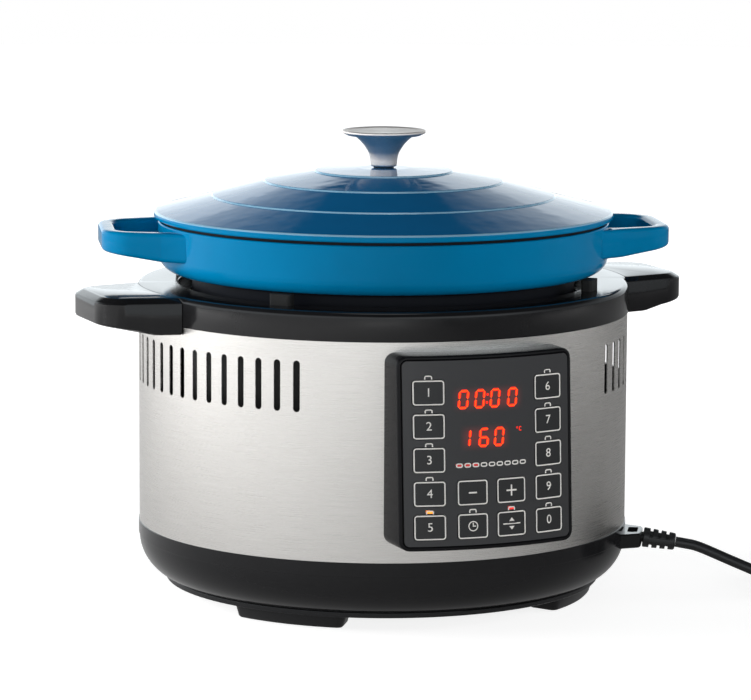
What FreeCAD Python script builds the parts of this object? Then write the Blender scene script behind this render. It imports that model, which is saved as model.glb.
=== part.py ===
"""Electric cooker: enamelled cast-iron pot and lid in a heated steel housing with a key panel.

Millimetres. +Z is up and the panel faces -Y. The pieces are drawn about the pot's axis and then moved back
a little, so that the origin is on the floor under the middle of the cooker, between panel and back.
"""
import FreeCAD, Part
import math
import os

Vector = FreeCAD.Vector
UP = Vector(0, 0, 1)

# General fits
SEAT_GAP = 0.3           # clearance between pieces that slip into each other
SCREW_GAP = 0.15         # clearance round a screw's shank

# Feet and bottom plate
FOOT_PAD_PROUD = 0.8
FOOT_PAD_RADIUS = 6.0
FOOT_PAD_SUNK = 1.2
FOOT_HEIGHT = 7.6
FOOT_INNER_RADIUS = 108.0
FOOT_OUTER_RADIUS = 132.0
FOOT_DRAFT = 2.0
FOOT_ANGLE = 48.0        # from the front, to the middle of a foot
FOOT_SPREAD = 34.0       # degrees that a foot covers
FOOT_PEG_RADIUS = 3.0
PLATE_RADIUS = 134.7
PLATE_THICKNESS = 3.0
PLATE_EDGE = 3.2
PLATE_GROOVE_DEPTH = 1.7
PLATE_GROOVE = 0.8
PLATE_SPIGOT = 2.6
PLATE_SPIGOT_WALL = 3.0
PLATE_VENTS = 16
PLATE_VENT_LENGTH = 34.0
PLATE_VENT_WIDTH = 4.0
PLATE_VENT_RADIUS = 78.0

# Moulded base
BASE_RADIUS = 151.5
BASE_HEIGHT = 32.6
BASE_MOUTH_RADIUS = 126.0
BASE_EDGE_RADIUS = 136.0
BASE_FLANGE = 2.8
BASE_CORNER_DROP = 25.2
BASE_CORNER_RADIUS = 26.0
BASE_BAND = 8.6
BASE_STEP = 0.5
BASE_SCREW_RADIUS = 130.5
BASE_BOSS_RADIUS = 4.5
BASE_BOSS_HEIGHT = 9.0
SPIGOT_HEIGHT = 6.0
SPIGOT_WALL = 2.5

# Steel band
SHELL_RADIUS = 151.0
SHELL_WALL = 0.8
SHELL_HEIGHT = 130.5
SLOTS_PER_SIDE = 20
SLOT_FIRST_ANGLE = 41.2
SLOT_PITCH = 4.7
SLOT_WIDTH = 4.2
SLOT_LENGTH = 30.5
SLOT_TOP_GAP = 12.0

# Top ring and the side handles
RING_RADIUS = 151.7
RING_HEIGHT = 17.5
RING_EDGE_ROUND = 3.5
RING_DECK = 3.0
RING_MOUTH_RADIUS = 126.5
RING_INNER_WALL = 2.5
RING_INNER_DROP = 8.0
HANDLE_SEAM = 0.4
HANDLE_REACH = 192.5
HANDLE_ROOT_REACH = 146.0     # where the flanks meet the ring
HANDLE_ROOT_HALF_WIDTH = 43.0
HANDLE_TIP_HALF_WIDTH = 33.0
HANDLE_TIP_ROUND = 14.0
HANDLE_BEVEL = 4.5
HANDLE_HEEL = 8.0             # flat stretch under the root
HANDLE_HEEL_RISE = 2.2
HANDLE_DROP = 4.5             # how far the heel hangs below the ring
HANDLE_TIP_THICKNESS = 16.2
HANDLE_EDGE_ROUND = 1.6
HANDLE_SCREW_SPACING = 40.0
HANDLE_SCREW_LENGTH = 22.0

# Pads that keep the pot off the ring
PAD_ANGLE = 48.3
PAD_WIDTH = 14.0
PAD_DEPTH = 7.0
PAD_INSET = 2.5               # from the pot's wall in to the pad
PAD_PEG_RADIUS = 2.0

# Pot
POT_RADIUS = 139.0
POT_WALL = 4.6
POT_TAPER = 0.6
POT_SHOULDER_GAP = 7.0       # from the ring's deck to the pot's shoulder
POT_SHOULDER_ROUND = 10.0
POT_BAND_HEIGHT = 30.4
POT_WELL_RADIUS = 118.0
POT_WELL_DEPTH = 110.0
POT_WELL_ROUND = 14.0
POT_FLOOR = 5.0
POT_LAND_HEIGHT = 2.0
POT_LAND_INSET = 2.2
POT_YAW = -14.4
LOOP_REACH = 175.0
LOOP_ROOT_HALF_WIDTH = 46.0
LOOP_TIP_HALF_WIDTH = 38.0
LOOP_BAR = 9.5
LOOP_TIP_ROUND = 15.0
LOOP_TOP_DROP = 2.0
LOOP_SUNK = 26.0             # how far the bars reach back before the wall trims them
LOOP_ROOT_THICKNESS = 17.5
LOOP_TIP_THICKNESS = 12.5
LOOP_EDGE_ROUND = 2.4

# Lid and knob
LID_RADIUS = 141.5
LID_RIM = 4.0
LID_WALL = 4.0
LID_LIP_DEPTH = 6.0
LID_LIP_WALL = 4.0
LID_LIP_GAP = 1.0
RIDGE_RADII = (105.0, 73.0, 42.0)
RIDGE_RISES = (13.9, 22.8, 28.8)
RIDGE_STEP = 1.7
RIDGE_ROUND = 0.9
LID_CROWN_RISE = 30.2
KNOB_RADIUS = 25.8
KNOB_HEIGHT = 22.6
KNOB_DISC = 3.4
KNOB_DISH = 1.2
KNOB_FOOT_RADIUS = 8.0
KNOB_FLARE_RADIUS = 17.3
KNOB_SCREW_RADIUS = 2.9
KNOB_SCREW_HEAD_RADIUS = 6.0
KNOB_SCREW_HEAD = 3.0
KNOB_SCREW_REACH = 12.0
WASHER_THICKNESS = 0.8
WASHER_RADIUS = 7.4

# Heated well
BOWL_RADIUS = 122.0
BOWL_WALL = 0.8
BOWL_FLANGE_RADIUS = 136.0
BOWL_FLOOR_ROUND = 8.0
BOWL_HOLE_RADIUS = 20.0
BOWL_SCREW_RADIUS = 131.0
BOWL_BOSS_RADIUS = 4.0
HEATER_RADIUS = 100.0
HEATER_THICKNESS = 10.0
HEATER_BORE_RADIUS = 16.0
HEATER_POST_HEIGHT = 10.0
HEATER_POST_RADIUS = 4.5
HEATER_POST_CIRCLE = 88.0
ELEMENT_RADIUS = 66.0
ELEMENT_TUBE = 4.0
ELEMENT_ARC = 300.0
ELEMENT_LEG = 26.0
ELEMENT_PIN_RADIUS = 2.6
CUTOUT_RADIUS = 8.0
CUTOUT_HEIGHT = 6.0
CUTOUT_CIRCLE = 40.0
SENSOR_RADIUS = 13.0
SENSOR_CAP = 5.0
SENSOR_STEM_RADIUS = 5.0
SENSOR_STEM = 20.0
GUIDE_WALL = 2.5
GUIDE_RISE = 5.0
GUIDE_FLANGE_RADIUS = 26.0
GUIDE_FLANGE = 1.5
SPRING_WIRE = 1.2
SPRING_COIL_RADIUS = 9.6
SPRING_TURNS = 3

# Electrics in the base
BOARD_LENGTH = 116.0
BOARD_WIDTH = 72.0
BOARD_THICKNESS = 1.6
BOARD_HEIGHT = 16.0          # from the bottom plate up to the board
BOARD_POST_RADIUS = 3.5
BOARD_MARGIN = 6.0
RELAY_SIZE = (20.0, 16.0, 17.0)
TRANSFORMER_SIZE = (34.0, 28.0, 26.0)
CAPACITOR_RADIUS = 7.0
CAPACITOR_HEIGHT = 22.0

# Small screws
SCREW_RADIUS = 1.6
SCREW_HEAD_RADIUS = 3.2
SCREW_HEAD = 2.0

# Control panel: its face follows the band and leans out towards the foot
PANEL_HALF_WIDTH = 55.0
PANEL_LOWEST = 56.5
PANEL_HIGHEST = 170.0
PANEL_CORNER = 6.0
PANEL_TOP_RADIUS = 168.6
PANEL_FOOT_RADIUS = 174.6
PANEL_WALL = 2.6
PANEL_EDGE_ROUND = 1.2
PANEL_LEDGE = 2.0
PANEL_LEDGE_DEPTH = 3.0
PANEL_WINDOW_MARGIN = 11.5
FASCIA_THICKNESS = 2.0
FASCIA_GAP = 0.2
POST_INSET = 5.0
POST_RADIUS = 2.1
POST_PIN_RADIUS = 1.7
PANEL_SCREW_RADIUS = 0.9
PANEL_SCREW_HEAD_RADIUS = 2.2
PANEL_SCREW_HEAD = 1.4
DISPLAY_BOARD_FRONT = 153.8   # from the axis to the front of the flat board
KEY_WIDTH = 18.6
KEY_HEIGHT = 14.8
KEY_ROUND = 2.0
KEY_PROUD = 0.3
KEY_DEPTH = 4.8
KEY_FLANGE = 0.6
KEY_FLANGE_GAP = 0.3
KEY_STEM_RADIUS = 2.0
KEY_ROW_LOWEST = 70.4
KEY_ROW_PITCH = 19.6
KEY_OUTER_COLUMN = 37.6
KEY_INNER_COLUMN = 12.2
SWITCH_SIZE = 6.0
SWITCH_HEIGHT = 4.2
SWITCH_GAP = 0.6
PIPE_WIDTH = 4.4
PIPE_HEIGHT = 1.8
PIPE_RISE = 9.3
PIPE_GAP = 0.15
STAGE_LIGHTS = 9
STAGE_PITCH = 5.0
STAGE_LEVEL = 106.0
TIME_DISPLAY = (46.0, 19.0)
TIME_LEVEL = 144.5
TEMPERATURE_DISPLAY = (34.0, 16.0)
TEMPERATURE_LEVEL = 121.4
DISPLAY_GAP = 1.2

# Cord: where it leaves, the strain relief, and the coil it is stored in
CORD_DIAMETER = 6.5
CORD_ANGLE = 61.5            # from the front towards +X
CORD_BOX_LOW = 31.0
CORD_BOX_HIGH = 40.0
CORD_BOX_REACH = 162.0
CORD_BOX_ROOT_HALF_WIDTH = 19.0
CORD_BOX_TIP_HALF_WIDTH = 12.0
CORD_BOX_WALL = 2.4
CORD_BOX_POCKET_HALF_WIDTH = 8.0
CORD_BOX_POCKET_INNER = 153.4
BOOT_LENGTH = 20.0
BOOT_RADIUS = 6.2
BOOT_TIP_RADIUS = 5.2
BOOT_NECK_RADIUS = 3.2
BOOT_TILT = 7.0
BOOT_LEVEL = 35.6
BOOT_SEAT = 0.9
BOOT_GROOVES = 3
BOOT_GROOVE = 1.6
BOOT_GROOVE_DEPTH = 1.7
COIL_OUTER_RADIUS = 42.0
COIL_STEP = 7.0
COIL_LAYER_TURNS = 1.875
COIL_CLIMB_TURNS = 0.5
COIL_STRAIGHT = 7.0
COIL_TAIL = 30.0
TIE_THICKNESS = 0.8
TIE_WIDTH = 8.0
TIE_ANGLE = 250.0
TIE_GAP = 0.4
TIE_SIDE_GAP = 0.9
PLUG_LENGTH = 38.0
PLUG_TAIL_HALF_WIDTH = 6.5
PLUG_FACE_HALF_WIDTH = 15.0
PLUG_ROUND = 3.0
PIN_LENGTH = 17.0
PIN_WIDTH = 6.3
PIN_THICKNESS = 1.6
PIN_SPREAD = 7.9
PIN_DROP = 5.9
PIN_LEAN = 30.0

# Levels that follow from the sizes above
plate_low = FOOT_PAD_PROUD + FOOT_HEIGHT
base_low = plate_low + PLATE_EDGE + PLATE_GROOVE
shell_low = base_low + BASE_HEIGHT
shell_high = shell_low + SHELL_HEIGHT
deck_high = shell_high + RING_HEIGHT
shoulder_low = deck_high + POT_SHOULDER_GAP
pot_low = shoulder_low - POT_WELL_DEPTH
rim_low = shoulder_low + POT_BAND_HEIGHT
rim_high = rim_low + POT_LAND_HEIGHT
lid_crown = rim_high + LID_CROWN_RISE
heater_low = pot_low - HEATER_THICKNESS
bowl_floor = heater_low - HEATER_POST_HEIGHT
bowl_flange_high = deck_high - RING_INNER_DROP
shell_inner = SHELL_RADIUS - SHELL_WALL
spigot_radius = shell_inner - SEAT_GAP
board_low = plate_low + PLATE_THICKNESS + BOARD_HEIGHT
pad_circle = POT_RADIUS - PAD_INSET - PAD_DEPTH / 2
axis_behind_origin = (PANEL_FOOT_RADIUS - RING_RADIUS) / 2


def corner_edges(points, place):
    """Edges of a closed outline; a third number at a point rounds that corner."""
    count = len(points)
    starts, ends, arcs = [], [], []
    for i, point in enumerate(points):
        here = Vector(point[0], point[1], 0)
        radius = point[2] if len(point) > 2 else 0
        back = Vector(points[i - 1][0], points[i - 1][1], 0) - here
        ahead = Vector(points[(i + 1) % count][0], points[(i + 1) % count][1], 0) - here
        if radius <= 0:
            starts.append(here)
            ends.append(here)
            arcs.append(None)
            continue
        half = back.getAngle(ahead) / 2
        reach = radius / math.tan(half)
        back.normalize()
        ahead.normalize()
        inward = back + ahead
        inward.normalize()
        middle = here + inward * (radius / math.sin(half) - radius)
        starts.append(here + back * reach)
        ends.append(here + ahead * reach)
        arcs.append(middle)
    edges = []
    for i in range(count):
        if arcs[i]:
            edges.append(Part.Arc(place(starts[i]), place(arcs[i]), place(ends[i])).toShape())
        following = starts[(i + 1) % count]
        if (following - ends[i]).Length > 1e-6:
            edges.append(Part.LineSegment(place(ends[i]), place(following)).toShape())
    return edges


def face(points, place):
    return Part.Face(Part.Wire(Part.__sortEdges__(corner_edges(points, place))))


def turned(points):
    """Solid of revolution about Z from a profile of (radius, height) points."""
    profile = face(points, lambda p: Vector(p.x, 0, p.y))
    return profile.revolve(Vector(0, 0, 0), UP, 360)


def plan_prism(points, low, high):
    """Upright prism from a plan outline."""
    return face(points, lambda p: Vector(p.x, p.y, low)).extrude(UP * (high - low))


def side_prism(points, half_width):
    """Prism along Y from an outline in X and Z."""
    outline = face(points, lambda p: Vector(p.x, -half_width, p.y))
    return outline.extrude(Vector(0, 2 * half_width, 0))


def front_prism(centre_x, centre_z, width, height, round_radius, front, back):
    """Rounded block along Y between two distances in front of the axis."""
    x, z = width / 2, height / 2
    points = [(centre_x + sx * x, centre_z + sz * z, round_radius)
              for sx, sz in ((-1, -1), (1, -1), (1, 1), (-1, 1))]
    outline = face(points, lambda p: Vector(p.x, -front, p.y))
    return outline.extrude(Vector(0, front - back, 0))


def rod(radius, low, high, x=0.0, y=0.0):
    return Part.makeCylinder(radius, high - low, Vector(x, y, low))


def rod_y(radius, front, back, x, z):
    return Part.makeCylinder(radius, front - back, Vector(x, -front, z), Vector(0, 1, 0))


def around(shape, angle):
    """Copy turned about Z; the angle runs from the front (-Y) towards +X."""
    return shape.rotated(Vector(0, 0, 0), UP, angle)


def spot(radius, angle):
    """Plan point at an angle from the front towards +X."""
    turn = math.radians(angle)
    return radius * math.sin(turn), -radius * math.cos(turn)


def screw(head_at, direction, length, radius=SCREW_RADIUS, head_radius=SCREW_HEAD_RADIUS, head=SCREW_HEAD):
    """Pan-head screw whose head sits behind head_at and whose shank runs along direction."""
    shank = Part.makeCylinder(radius, length, head_at, direction)
    top = Part.makeCylinder(head_radius, head, head_at - direction * head, direction)
    return top.fuse(shank).removeSplitter()


nodes = {}


def keep(name, shape):
    solids = shape.Solids
    nodes[name] = solids[0] if len(solids) == 1 else Part.makeCompound(solids)


# Lid: a stepped dome with a lip below that drops inside the pot
def lid():
    wall_inner = POT_RADIUS - POT_TAPER - POT_WALL
    lip_outer = wall_inner - LID_LIP_GAP
    lip_inner = lip_outer - LID_LIP_WALL
    top = [(LID_RADIUS, rim_high), (LID_RADIUS, rim_high + LID_RIM, LID_RIM / 2)]
    for radius, rise in zip(RIDGE_RADII, RIDGE_RISES):
        level = rim_high + rise
        top.append((radius + RIDGE_STEP, level - RIDGE_STEP, RIDGE_ROUND))
        top.append((radius, level, RIDGE_ROUND))
    top.append((KNOB_FOOT_RADIUS * 2, lid_crown))
    top.append((0, lid_crown))
    under = [(0, lid_crown - LID_WALL), (KNOB_FOOT_RADIUS * 2, lid_crown - LID_WALL)]
    for radius, rise in reversed(list(zip(RIDGE_RADII, RIDGE_RISES))):
        under.append((radius, rim_high + rise - RIDGE_STEP - LID_WALL))
    under.append((lip_inner, rim_high + LID_RIM - LID_WALL + 1.0))
    under.append((lip_inner, rim_high - LID_LIP_DEPTH, LID_LIP_WALL / 3))
    under.append((lip_outer, rim_high - LID_LIP_DEPTH, LID_LIP_WALL / 3))
    under.append((lip_outer, rim_high))
    hole = rod(KNOB_SCREW_RADIUS + SEAT_GAP, lid_crown - 2 * LID_WALL, lid_crown + 1)
    keep("lid", turned(top + under).cut(hole))


def lid_knob():
    washer_high = lid_crown + WASHER_THICKNESS
    keep("knob_washer", rod(WASHER_RADIUS, lid_crown, washer_high).cut(
        rod(KNOB_SCREW_RADIUS + SEAT_GAP, lid_crown - 1, washer_high + 1)))
    high = washer_high + KNOB_HEIGHT
    disc_low = high - KNOB_DISC
    throat = (high - washer_high) * 0.42
    outline = [(0, washer_high), (KNOB_FOOT_RADIUS, washer_high, 1.0),
               (KNOB_FOOT_RADIUS + 0.6, washer_high + throat, 22.0),
               (KNOB_FLARE_RADIUS, disc_low - 0.8), (KNOB_RADIUS - 2.6, disc_low, 1.0),
               (KNOB_RADIUS, disc_low + KNOB_DISC * 0.6, 1.0), (KNOB_RADIUS - 1.0, high, 0.5),
               (KNOB_RADIUS - 4.0, high - KNOB_DISH), (0, high - KNOB_DISH)]
    thread = rod(KNOB_SCREW_RADIUS + SCREW_GAP, washer_high - 1, washer_high + KNOB_SCREW_REACH)
    keep("lid_knob", turned(outline).cut(thread))
    head_at = Vector(0, 0, lid_crown - LID_WALL)
    length = LID_WALL + WASHER_THICKNESS + KNOB_SCREW_REACH - 1
    keep("knob_screw", screw(head_at, UP, length, KNOB_SCREW_RADIUS, KNOB_SCREW_HEAD_RADIUS, KNOB_SCREW_HEAD))


# Pot: wide band above the housing, narrower well inside it, two cast loop handles
def pot():
    top = POT_RADIUS
    foot = POT_RADIUS - POT_TAPER
    land = POT_RADIUS - POT_LAND_INSET
    bore = foot - POT_WALL
    well_bore = POT_WELL_RADIUS - POT_WALL
    outer = [(0, pot_low), (POT_WELL_RADIUS, pot_low, POT_WELL_ROUND), (POT_WELL_RADIUS, shoulder_low, 3.0),
             (foot, shoulder_low, POT_SHOULDER_ROUND), (top, rim_low, 0.8), (land, rim_low), (land, rim_high)]
    inner = [(bore, rim_high), (bore, shoulder_low + POT_WALL, POT_SHOULDER_ROUND - POT_WALL),
             (well_bore, shoulder_low + POT_WALL, 3.0),
             (well_bore, pot_low + POT_FLOOR, POT_WELL_ROUND - POT_WALL), (0, pot_low + POT_FLOOR)]
    body = turned(outer + inner)
    room = rod(bore + POT_WALL / 2, pot_low, rim_high)
    for half_turn in (0, 180):
        body = body.fuse(loop_handle().cut(room).rotated(Vector(0, 0, 0), UP, half_turn + POT_YAW))
    keep("pot", body)


def loop_handle():
    high = rim_low - LOOP_TOP_DROP
    root = POT_RADIUS - POT_WALL
    tip_low = high - LOOP_TIP_THICKNESS
    root_low = high - LOOP_ROOT_THICKNESS
    start = root - LOOP_SUNK
    slant = (tip_low - root_low) / (LOOP_REACH - root)
    side = [(start, root_low - slant * LOOP_SUNK), (LOOP_REACH + 1, tip_low + slant), (LOOP_REACH + 1, high),
            (start, high)]
    plan = []
    gap = []
    for sign in (-1, 1):
        outer = [(start, sign * (LOOP_ROOT_HALF_WIDTH + 10)), (root, sign * (LOOP_ROOT_HALF_WIDTH + 2), 8.0),
                 (LOOP_REACH, sign * LOOP_TIP_HALF_WIDTH, LOOP_TIP_ROUND)]
        inner = [(start, sign * (LOOP_ROOT_HALF_WIDTH - LOOP_BAR)),
                 (LOOP_REACH - LOOP_BAR, sign * (LOOP_TIP_HALF_WIDTH - LOOP_BAR),
                  LOOP_TIP_ROUND - LOOP_BAR / 2)]
        plan += outer if sign < 0 else outer[::-1]
        gap += inner if sign < 0 else inner[::-1]
    bar = plan_prism(plan, root_low - 1, high + 1).cut(plan_prism(gap, root_low - 2, high + 2))
    bar = bar.common(side_prism(side, LOOP_ROOT_HALF_WIDTH + 20)).Solids[0]
    edges = [e for e in bar.Edges if e.BoundBox.XMax > POT_RADIUS + 4 and not upright(e)]
    return bar.makeFillet(LOOP_EDGE_ROUND, edges)


# Heated well: bowl, plate with its cast-in tube, sprung sensor
def heated_well():
    flange_low = bowl_flange_high - BOWL_WALL
    inner = BOWL_RADIUS - BOWL_WALL
    bowl = turned([(BOWL_HOLE_RADIUS, bowl_floor - BOWL_WALL),
                   (BOWL_RADIUS, bowl_floor - BOWL_WALL, BOWL_FLOOR_ROUND), (BOWL_RADIUS, flange_low),
                   (BOWL_FLANGE_RADIUS, flange_low), (BOWL_FLANGE_RADIUS, bowl_flange_high),
                   (inner, bowl_flange_high), (inner, bowl_floor, BOWL_FLOOR_ROUND - BOWL_WALL),
                   (BOWL_HOLE_RADIUS, bowl_floor)])
    post_angles = (0, 120, 240)
    leg_turns = (-(360 - ELEMENT_ARC) / 2, (360 - ELEMENT_ARC) / 2)
    holes = [rod(ELEMENT_PIN_RADIUS + 2, bowl_floor - 5, bowl_floor + 5, *spot(ELEMENT_RADIUS, 180 + turn))
             for turn in leg_turns]
    holes += [rod(SCREW_RADIUS + SCREW_GAP, flange_low - 1, bowl_flange_high + 1,
                  *spot(BOWL_SCREW_RADIUS, 45 + 90 * i))
              for i in range(4)]
    keep("inner_bowl", bowl.cut(holes))
    plate = rod(HEATER_RADIUS, heater_low, pot_low).cut(rod(HEATER_BORE_RADIUS, heater_low - 1, pot_low + 1))
    groove = element_arc(ELEMENT_TUBE + SCREW_GAP)
    keep("heating_plate", plate.cut(groove))
    legs = [rod(ELEMENT_PIN_RADIUS, heater_low - ELEMENT_LEG, heater_low, *spot(ELEMENT_RADIUS, 180 + turn))
            for turn in leg_turns]
    tube = element_arc(ELEMENT_TUBE).cut(rod(HEATER_RADIUS * 2, heater_low + ELEMENT_TUBE / 2, pot_low))
    keep("heating_element", tube.fuse(legs))
    keep("heater_posts", Part.makeCompound([
        rod(HEATER_POST_RADIUS, bowl_floor, heater_low,
            *spot(HEATER_POST_CIRCLE, angle)) for angle in post_angles]))
    cutout_at = spot(CUTOUT_CIRCLE, 90)
    can = rod(CUTOUT_RADIUS, heater_low - CUTOUT_HEIGHT, heater_low, *cutout_at)
    tabs = [Part.makeBox(2.0, 0.8, CUTOUT_HEIGHT / 2,
                         Vector(cutout_at[0] + side - 1, cutout_at[1] - 0.4,
                                heater_low - CUTOUT_HEIGHT * 1.5))
            for side in (-4, 4)]
    keep("thermal_cutout", can.fuse(tabs))


def element_arc(tube):
    ring = Part.makeTorus(ELEMENT_RADIUS, tube, Vector(0, 0, heater_low), UP, -180, 180, ELEMENT_ARC)
    return ring.rotated(Vector(0, 0, 0), UP, 90 + (360 - ELEMENT_ARC) / 2)


def sensor():
    cap_low = pot_low - SENSOR_CAP
    bore = SENSOR_STEM_RADIUS + SEAT_GAP
    cap = turned([(0, cap_low - SENSOR_STEM), (SENSOR_STEM_RADIUS, cap_low - SENSOR_STEM, 0.6),
                  (SENSOR_STEM_RADIUS, cap_low), (SENSOR_RADIUS, cap_low, 0.8), (SENSOR_RADIUS, pot_low, 1.2),
                  (0, pot_low)])
    keep("sensor_cap", cap)
    guide_high = bowl_floor + GUIDE_RISE
    guide = turned([(bore, bowl_floor - 8), (bore + GUIDE_WALL, bowl_floor - 8),
                    (bore + GUIDE_WALL, bowl_floor), (GUIDE_FLANGE_RADIUS, bowl_floor),
                    (GUIDE_FLANGE_RADIUS, bowl_floor + GUIDE_FLANGE),
                    (bore + GUIDE_WALL, bowl_floor + GUIDE_FLANGE), (bore + GUIDE_WALL, guide_high),
                    (bore, guide_high)])
    keep("sensor_guide", guide)
    low = bowl_floor + GUIDE_FLANGE + SPRING_WIRE / 2 + 0.1
    high = cap_low - SPRING_WIRE / 2 - 0.1
    turns = SPRING_TURNS
    keep("sensor_spring", wound_tube(lambda s: spring_point(s, low, high, turns), 4 * turns, SPRING_WIRE / 2))


def spring_point(share, low, high, turns):
    angle = 2 * math.pi * turns * share
    return Vector(SPRING_COIL_RADIUS * math.cos(angle), SPRING_COIL_RADIUS * math.sin(angle),
                  low + (high - low) * share)


# Wound tubes: arcs that join smoothly, two for each stretch of the curve
def slope(curve, share):
    step = 1e-5
    ahead = curve(min(share + step, 1)) - curve(max(share - step, 0))
    ahead.normalize()
    return ahead


def arc_or_line(start, corner, end):
    middle = (start + end) * 0.5
    rise = corner - middle
    if rise.Length < 1e-4:
        return Part.LineSegment(start, end).toShape()
    chord = end - start
    lean = chord.getAngle(corner - start)
    rise.normalize()
    return Part.Arc(start, middle + rise * (chord.Length / 2 * math.tan(lean / 2)), end).toShape()


def biarc(start, out, end, arrive):
    chord = end - start
    both = out + arrive
    spread = 2 * (1 - out.dot(arrive))
    along = chord.dot(both)
    if spread < 1e-9:
        reach = chord.dot(chord) / (2 * along)
    else:
        reach = (-along + math.sqrt(along * along + spread * chord.dot(chord))) / spread
    first, second = start + out * reach, end - arrive * reach
    joint = (first + second) * 0.5
    return [arc_or_line(start, first, joint), arc_or_line(joint, second, end)]


def sweep_tube(edges, radius, start, out):
    path = Part.Wire(edges)
    ring = Part.Wire(Part.Circle(start, out, radius).toShape())
    shell = Part.BRepOffsetAPI.MakePipeShell(path)
    shell.add(ring, False, False)
    shell.build()
    shell.makeSolid()
    return shell.shape()


def wound_tube(curve, stretches, radius, lead_in=0.0, tail=0.0):
    marks = [curve(i / stretches) for i in range(stretches + 1)]
    ways = [slope(curve, i / stretches) for i in range(stretches + 1)]
    edges = []
    start = marks[0] - ways[0] * lead_in
    if lead_in:
        edges.append(Part.LineSegment(start, marks[0]).toShape())
    for i in range(stretches):
        edges += biarc(marks[i], ways[i], marks[i + 1], ways[i + 1])
    if tail:
        edges.append(Part.LineSegment(marks[-1], marks[-1] + ways[-1] * tail).toShape())
    return sweep_tube(edges, radius, start, ways[0])


# Top ring with its two stubs, the handles on them and the pot's pads
def top_ring():
    inner_wall = RING_MOUTH_RADIUS + RING_INNER_WALL
    channel = spigot_radius - SPIGOT_WALL
    deck_low = deck_high - RING_DECK
    ring = turned([(RING_MOUTH_RADIUS, bowl_flange_high), (inner_wall, bowl_flange_high),
                   (inner_wall, deck_low),
                   (channel, deck_low), (channel, shell_high - SPIGOT_HEIGHT),
                   (spigot_radius, shell_high - SPIGOT_HEIGHT),
                   (spigot_radius, shell_high), (RING_RADIUS, shell_high, 0.6),
                   (RING_RADIUS, deck_high, RING_EDGE_ROUND),
                   (RING_MOUTH_RADIUS, deck_high, 1.5)])
    land = rod(RING_RADIUS, shell_high + RING_EDGE_ROUND,
               deck_high).cut(rod(channel, shell_high, deck_high + 1))
    land = land.common(plan_prism(handle_plan(0), shell_high, deck_high + 1))
    ring = ring.fuse([land, around(land, 180)])
    bosses = [rod(BOWL_BOSS_RADIUS, bowl_flange_high, deck_low,
                  *spot(BOWL_SCREW_RADIUS, 45 + 90 * i)) for i in range(4)]
    ring = ring.fuse(bosses)
    holes = [rod(SCREW_RADIUS + SCREW_GAP, bowl_flange_high - 1, deck_low,
                 *spot(BOWL_SCREW_RADIUS, 45 + 90 * i))
             for i in range(4)]
    holes += [hole for hole in handle_bores(SCREW_RADIUS + SCREW_GAP, channel - 2)]
    holes += [rod(PAD_PEG_RADIUS + SEAT_GAP, deck_low - 1, deck_high + 1, *spot(pad_circle, angle))
              for angle in pad_angles()]
    keep("top_ring", ring.cut(holes))


def pad_angles():
    return (PAD_ANGLE, -PAD_ANGLE, 180 - PAD_ANGLE, 180 + PAD_ANGLE)


def handle_bores(radius, inner):
    level = handle_screw_level()
    bores = []
    for way in (1, -1):
        for side in (-1, 1):
            at = Vector(way * inner, side * HANDLE_SCREW_SPACING / 2, level)
            bores.append(Part.makeCylinder(radius, HANDLE_SCREW_LENGTH + 4, at, Vector(way, 0, 0)))
    return bores


def handle_screw_level():
    return (shell_high + deck_high - RING_DECK) / 2 + 1


def handle_plan(inner):
    """Plan of a handle, with its flanks run on into the ring as far as a given reach."""
    spread = (HANDLE_ROOT_HALF_WIDTH - HANDLE_TIP_HALF_WIDTH) / (HANDLE_REACH - HANDLE_ROOT_REACH)
    inner_half = HANDLE_ROOT_HALF_WIDTH + spread * (HANDLE_ROOT_REACH - inner)
    return [(inner, -inner_half), (HANDLE_REACH, -HANDLE_TIP_HALF_WIDTH, HANDLE_TIP_ROUND),
            (HANDLE_REACH, HANDLE_TIP_HALF_WIDTH, HANDLE_TIP_ROUND), (inner, inner_half)]


def side_handles():
    seat = RING_RADIUS + HANDLE_SEAM
    inner = HANDLE_ROOT_REACH - HANDLE_HEEL
    low = shell_high - HANDLE_DROP
    heel = seat + HANDLE_HEEL
    side = [(inner, low), (heel, low, 6.0), (heel + HANDLE_HEEL, low + HANDLE_HEEL_RISE, 12.0),
            (HANDLE_REACH, deck_high - HANDLE_TIP_THICKNESS), (HANDLE_REACH, deck_high), (inner, deck_high)]
    grip = plan_prism(handle_plan(inner), low - 1, deck_high + 1)
    grip = grip.common(side_prism(side, 2 * HANDLE_ROOT_HALF_WIDTH)).cut(rod(seat, low - 2,
                                                                             deck_high + 2)).Solids[0]
    outer = [e for e in grip.Edges if not upright(e) and not at_ring(e, seat)]
    grip = grip.makeChamfer(HANDLE_BEVEL, [e for e in outer if e.BoundBox.ZMin > deck_high - 0.01])
    under = [e for e in grip.Edges if not upright(e) and not at_ring(e, seat) and off_middle(e)]
    grip = rounded(grip, HANDLE_EDGE_ROUND, [e for e in under
                                             if e.BoundBox.ZMax < deck_high - HANDLE_BEVEL - 1])
    channel = spigot_radius - SPIGOT_WALL
    bores = handle_bores(SCREW_RADIUS + SCREW_GAP, channel - 2)
    keep("right_handle", grip.cut(bores))
    keep("left_handle", around(grip, 180).cut(bores))
    pads = []
    for angle in pad_angles():
        block = plan_prism([(sx * PAD_WIDTH / 2, -pad_circle + sy * PAD_DEPTH / 2, 2.0)
                            for sx, sy in ((-1, -1), (1, -1), (1, 1), (-1, 1))], deck_high,
                            shoulder_low - SEAT_GAP)
        peg = rod(PAD_PEG_RADIUS, deck_high - RING_DECK - 1, deck_high, 0, -pad_circle)
        pads.append(around(block.fuse(peg), angle))
    keep("support_pads", Part.makeCompound(pads))


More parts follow.
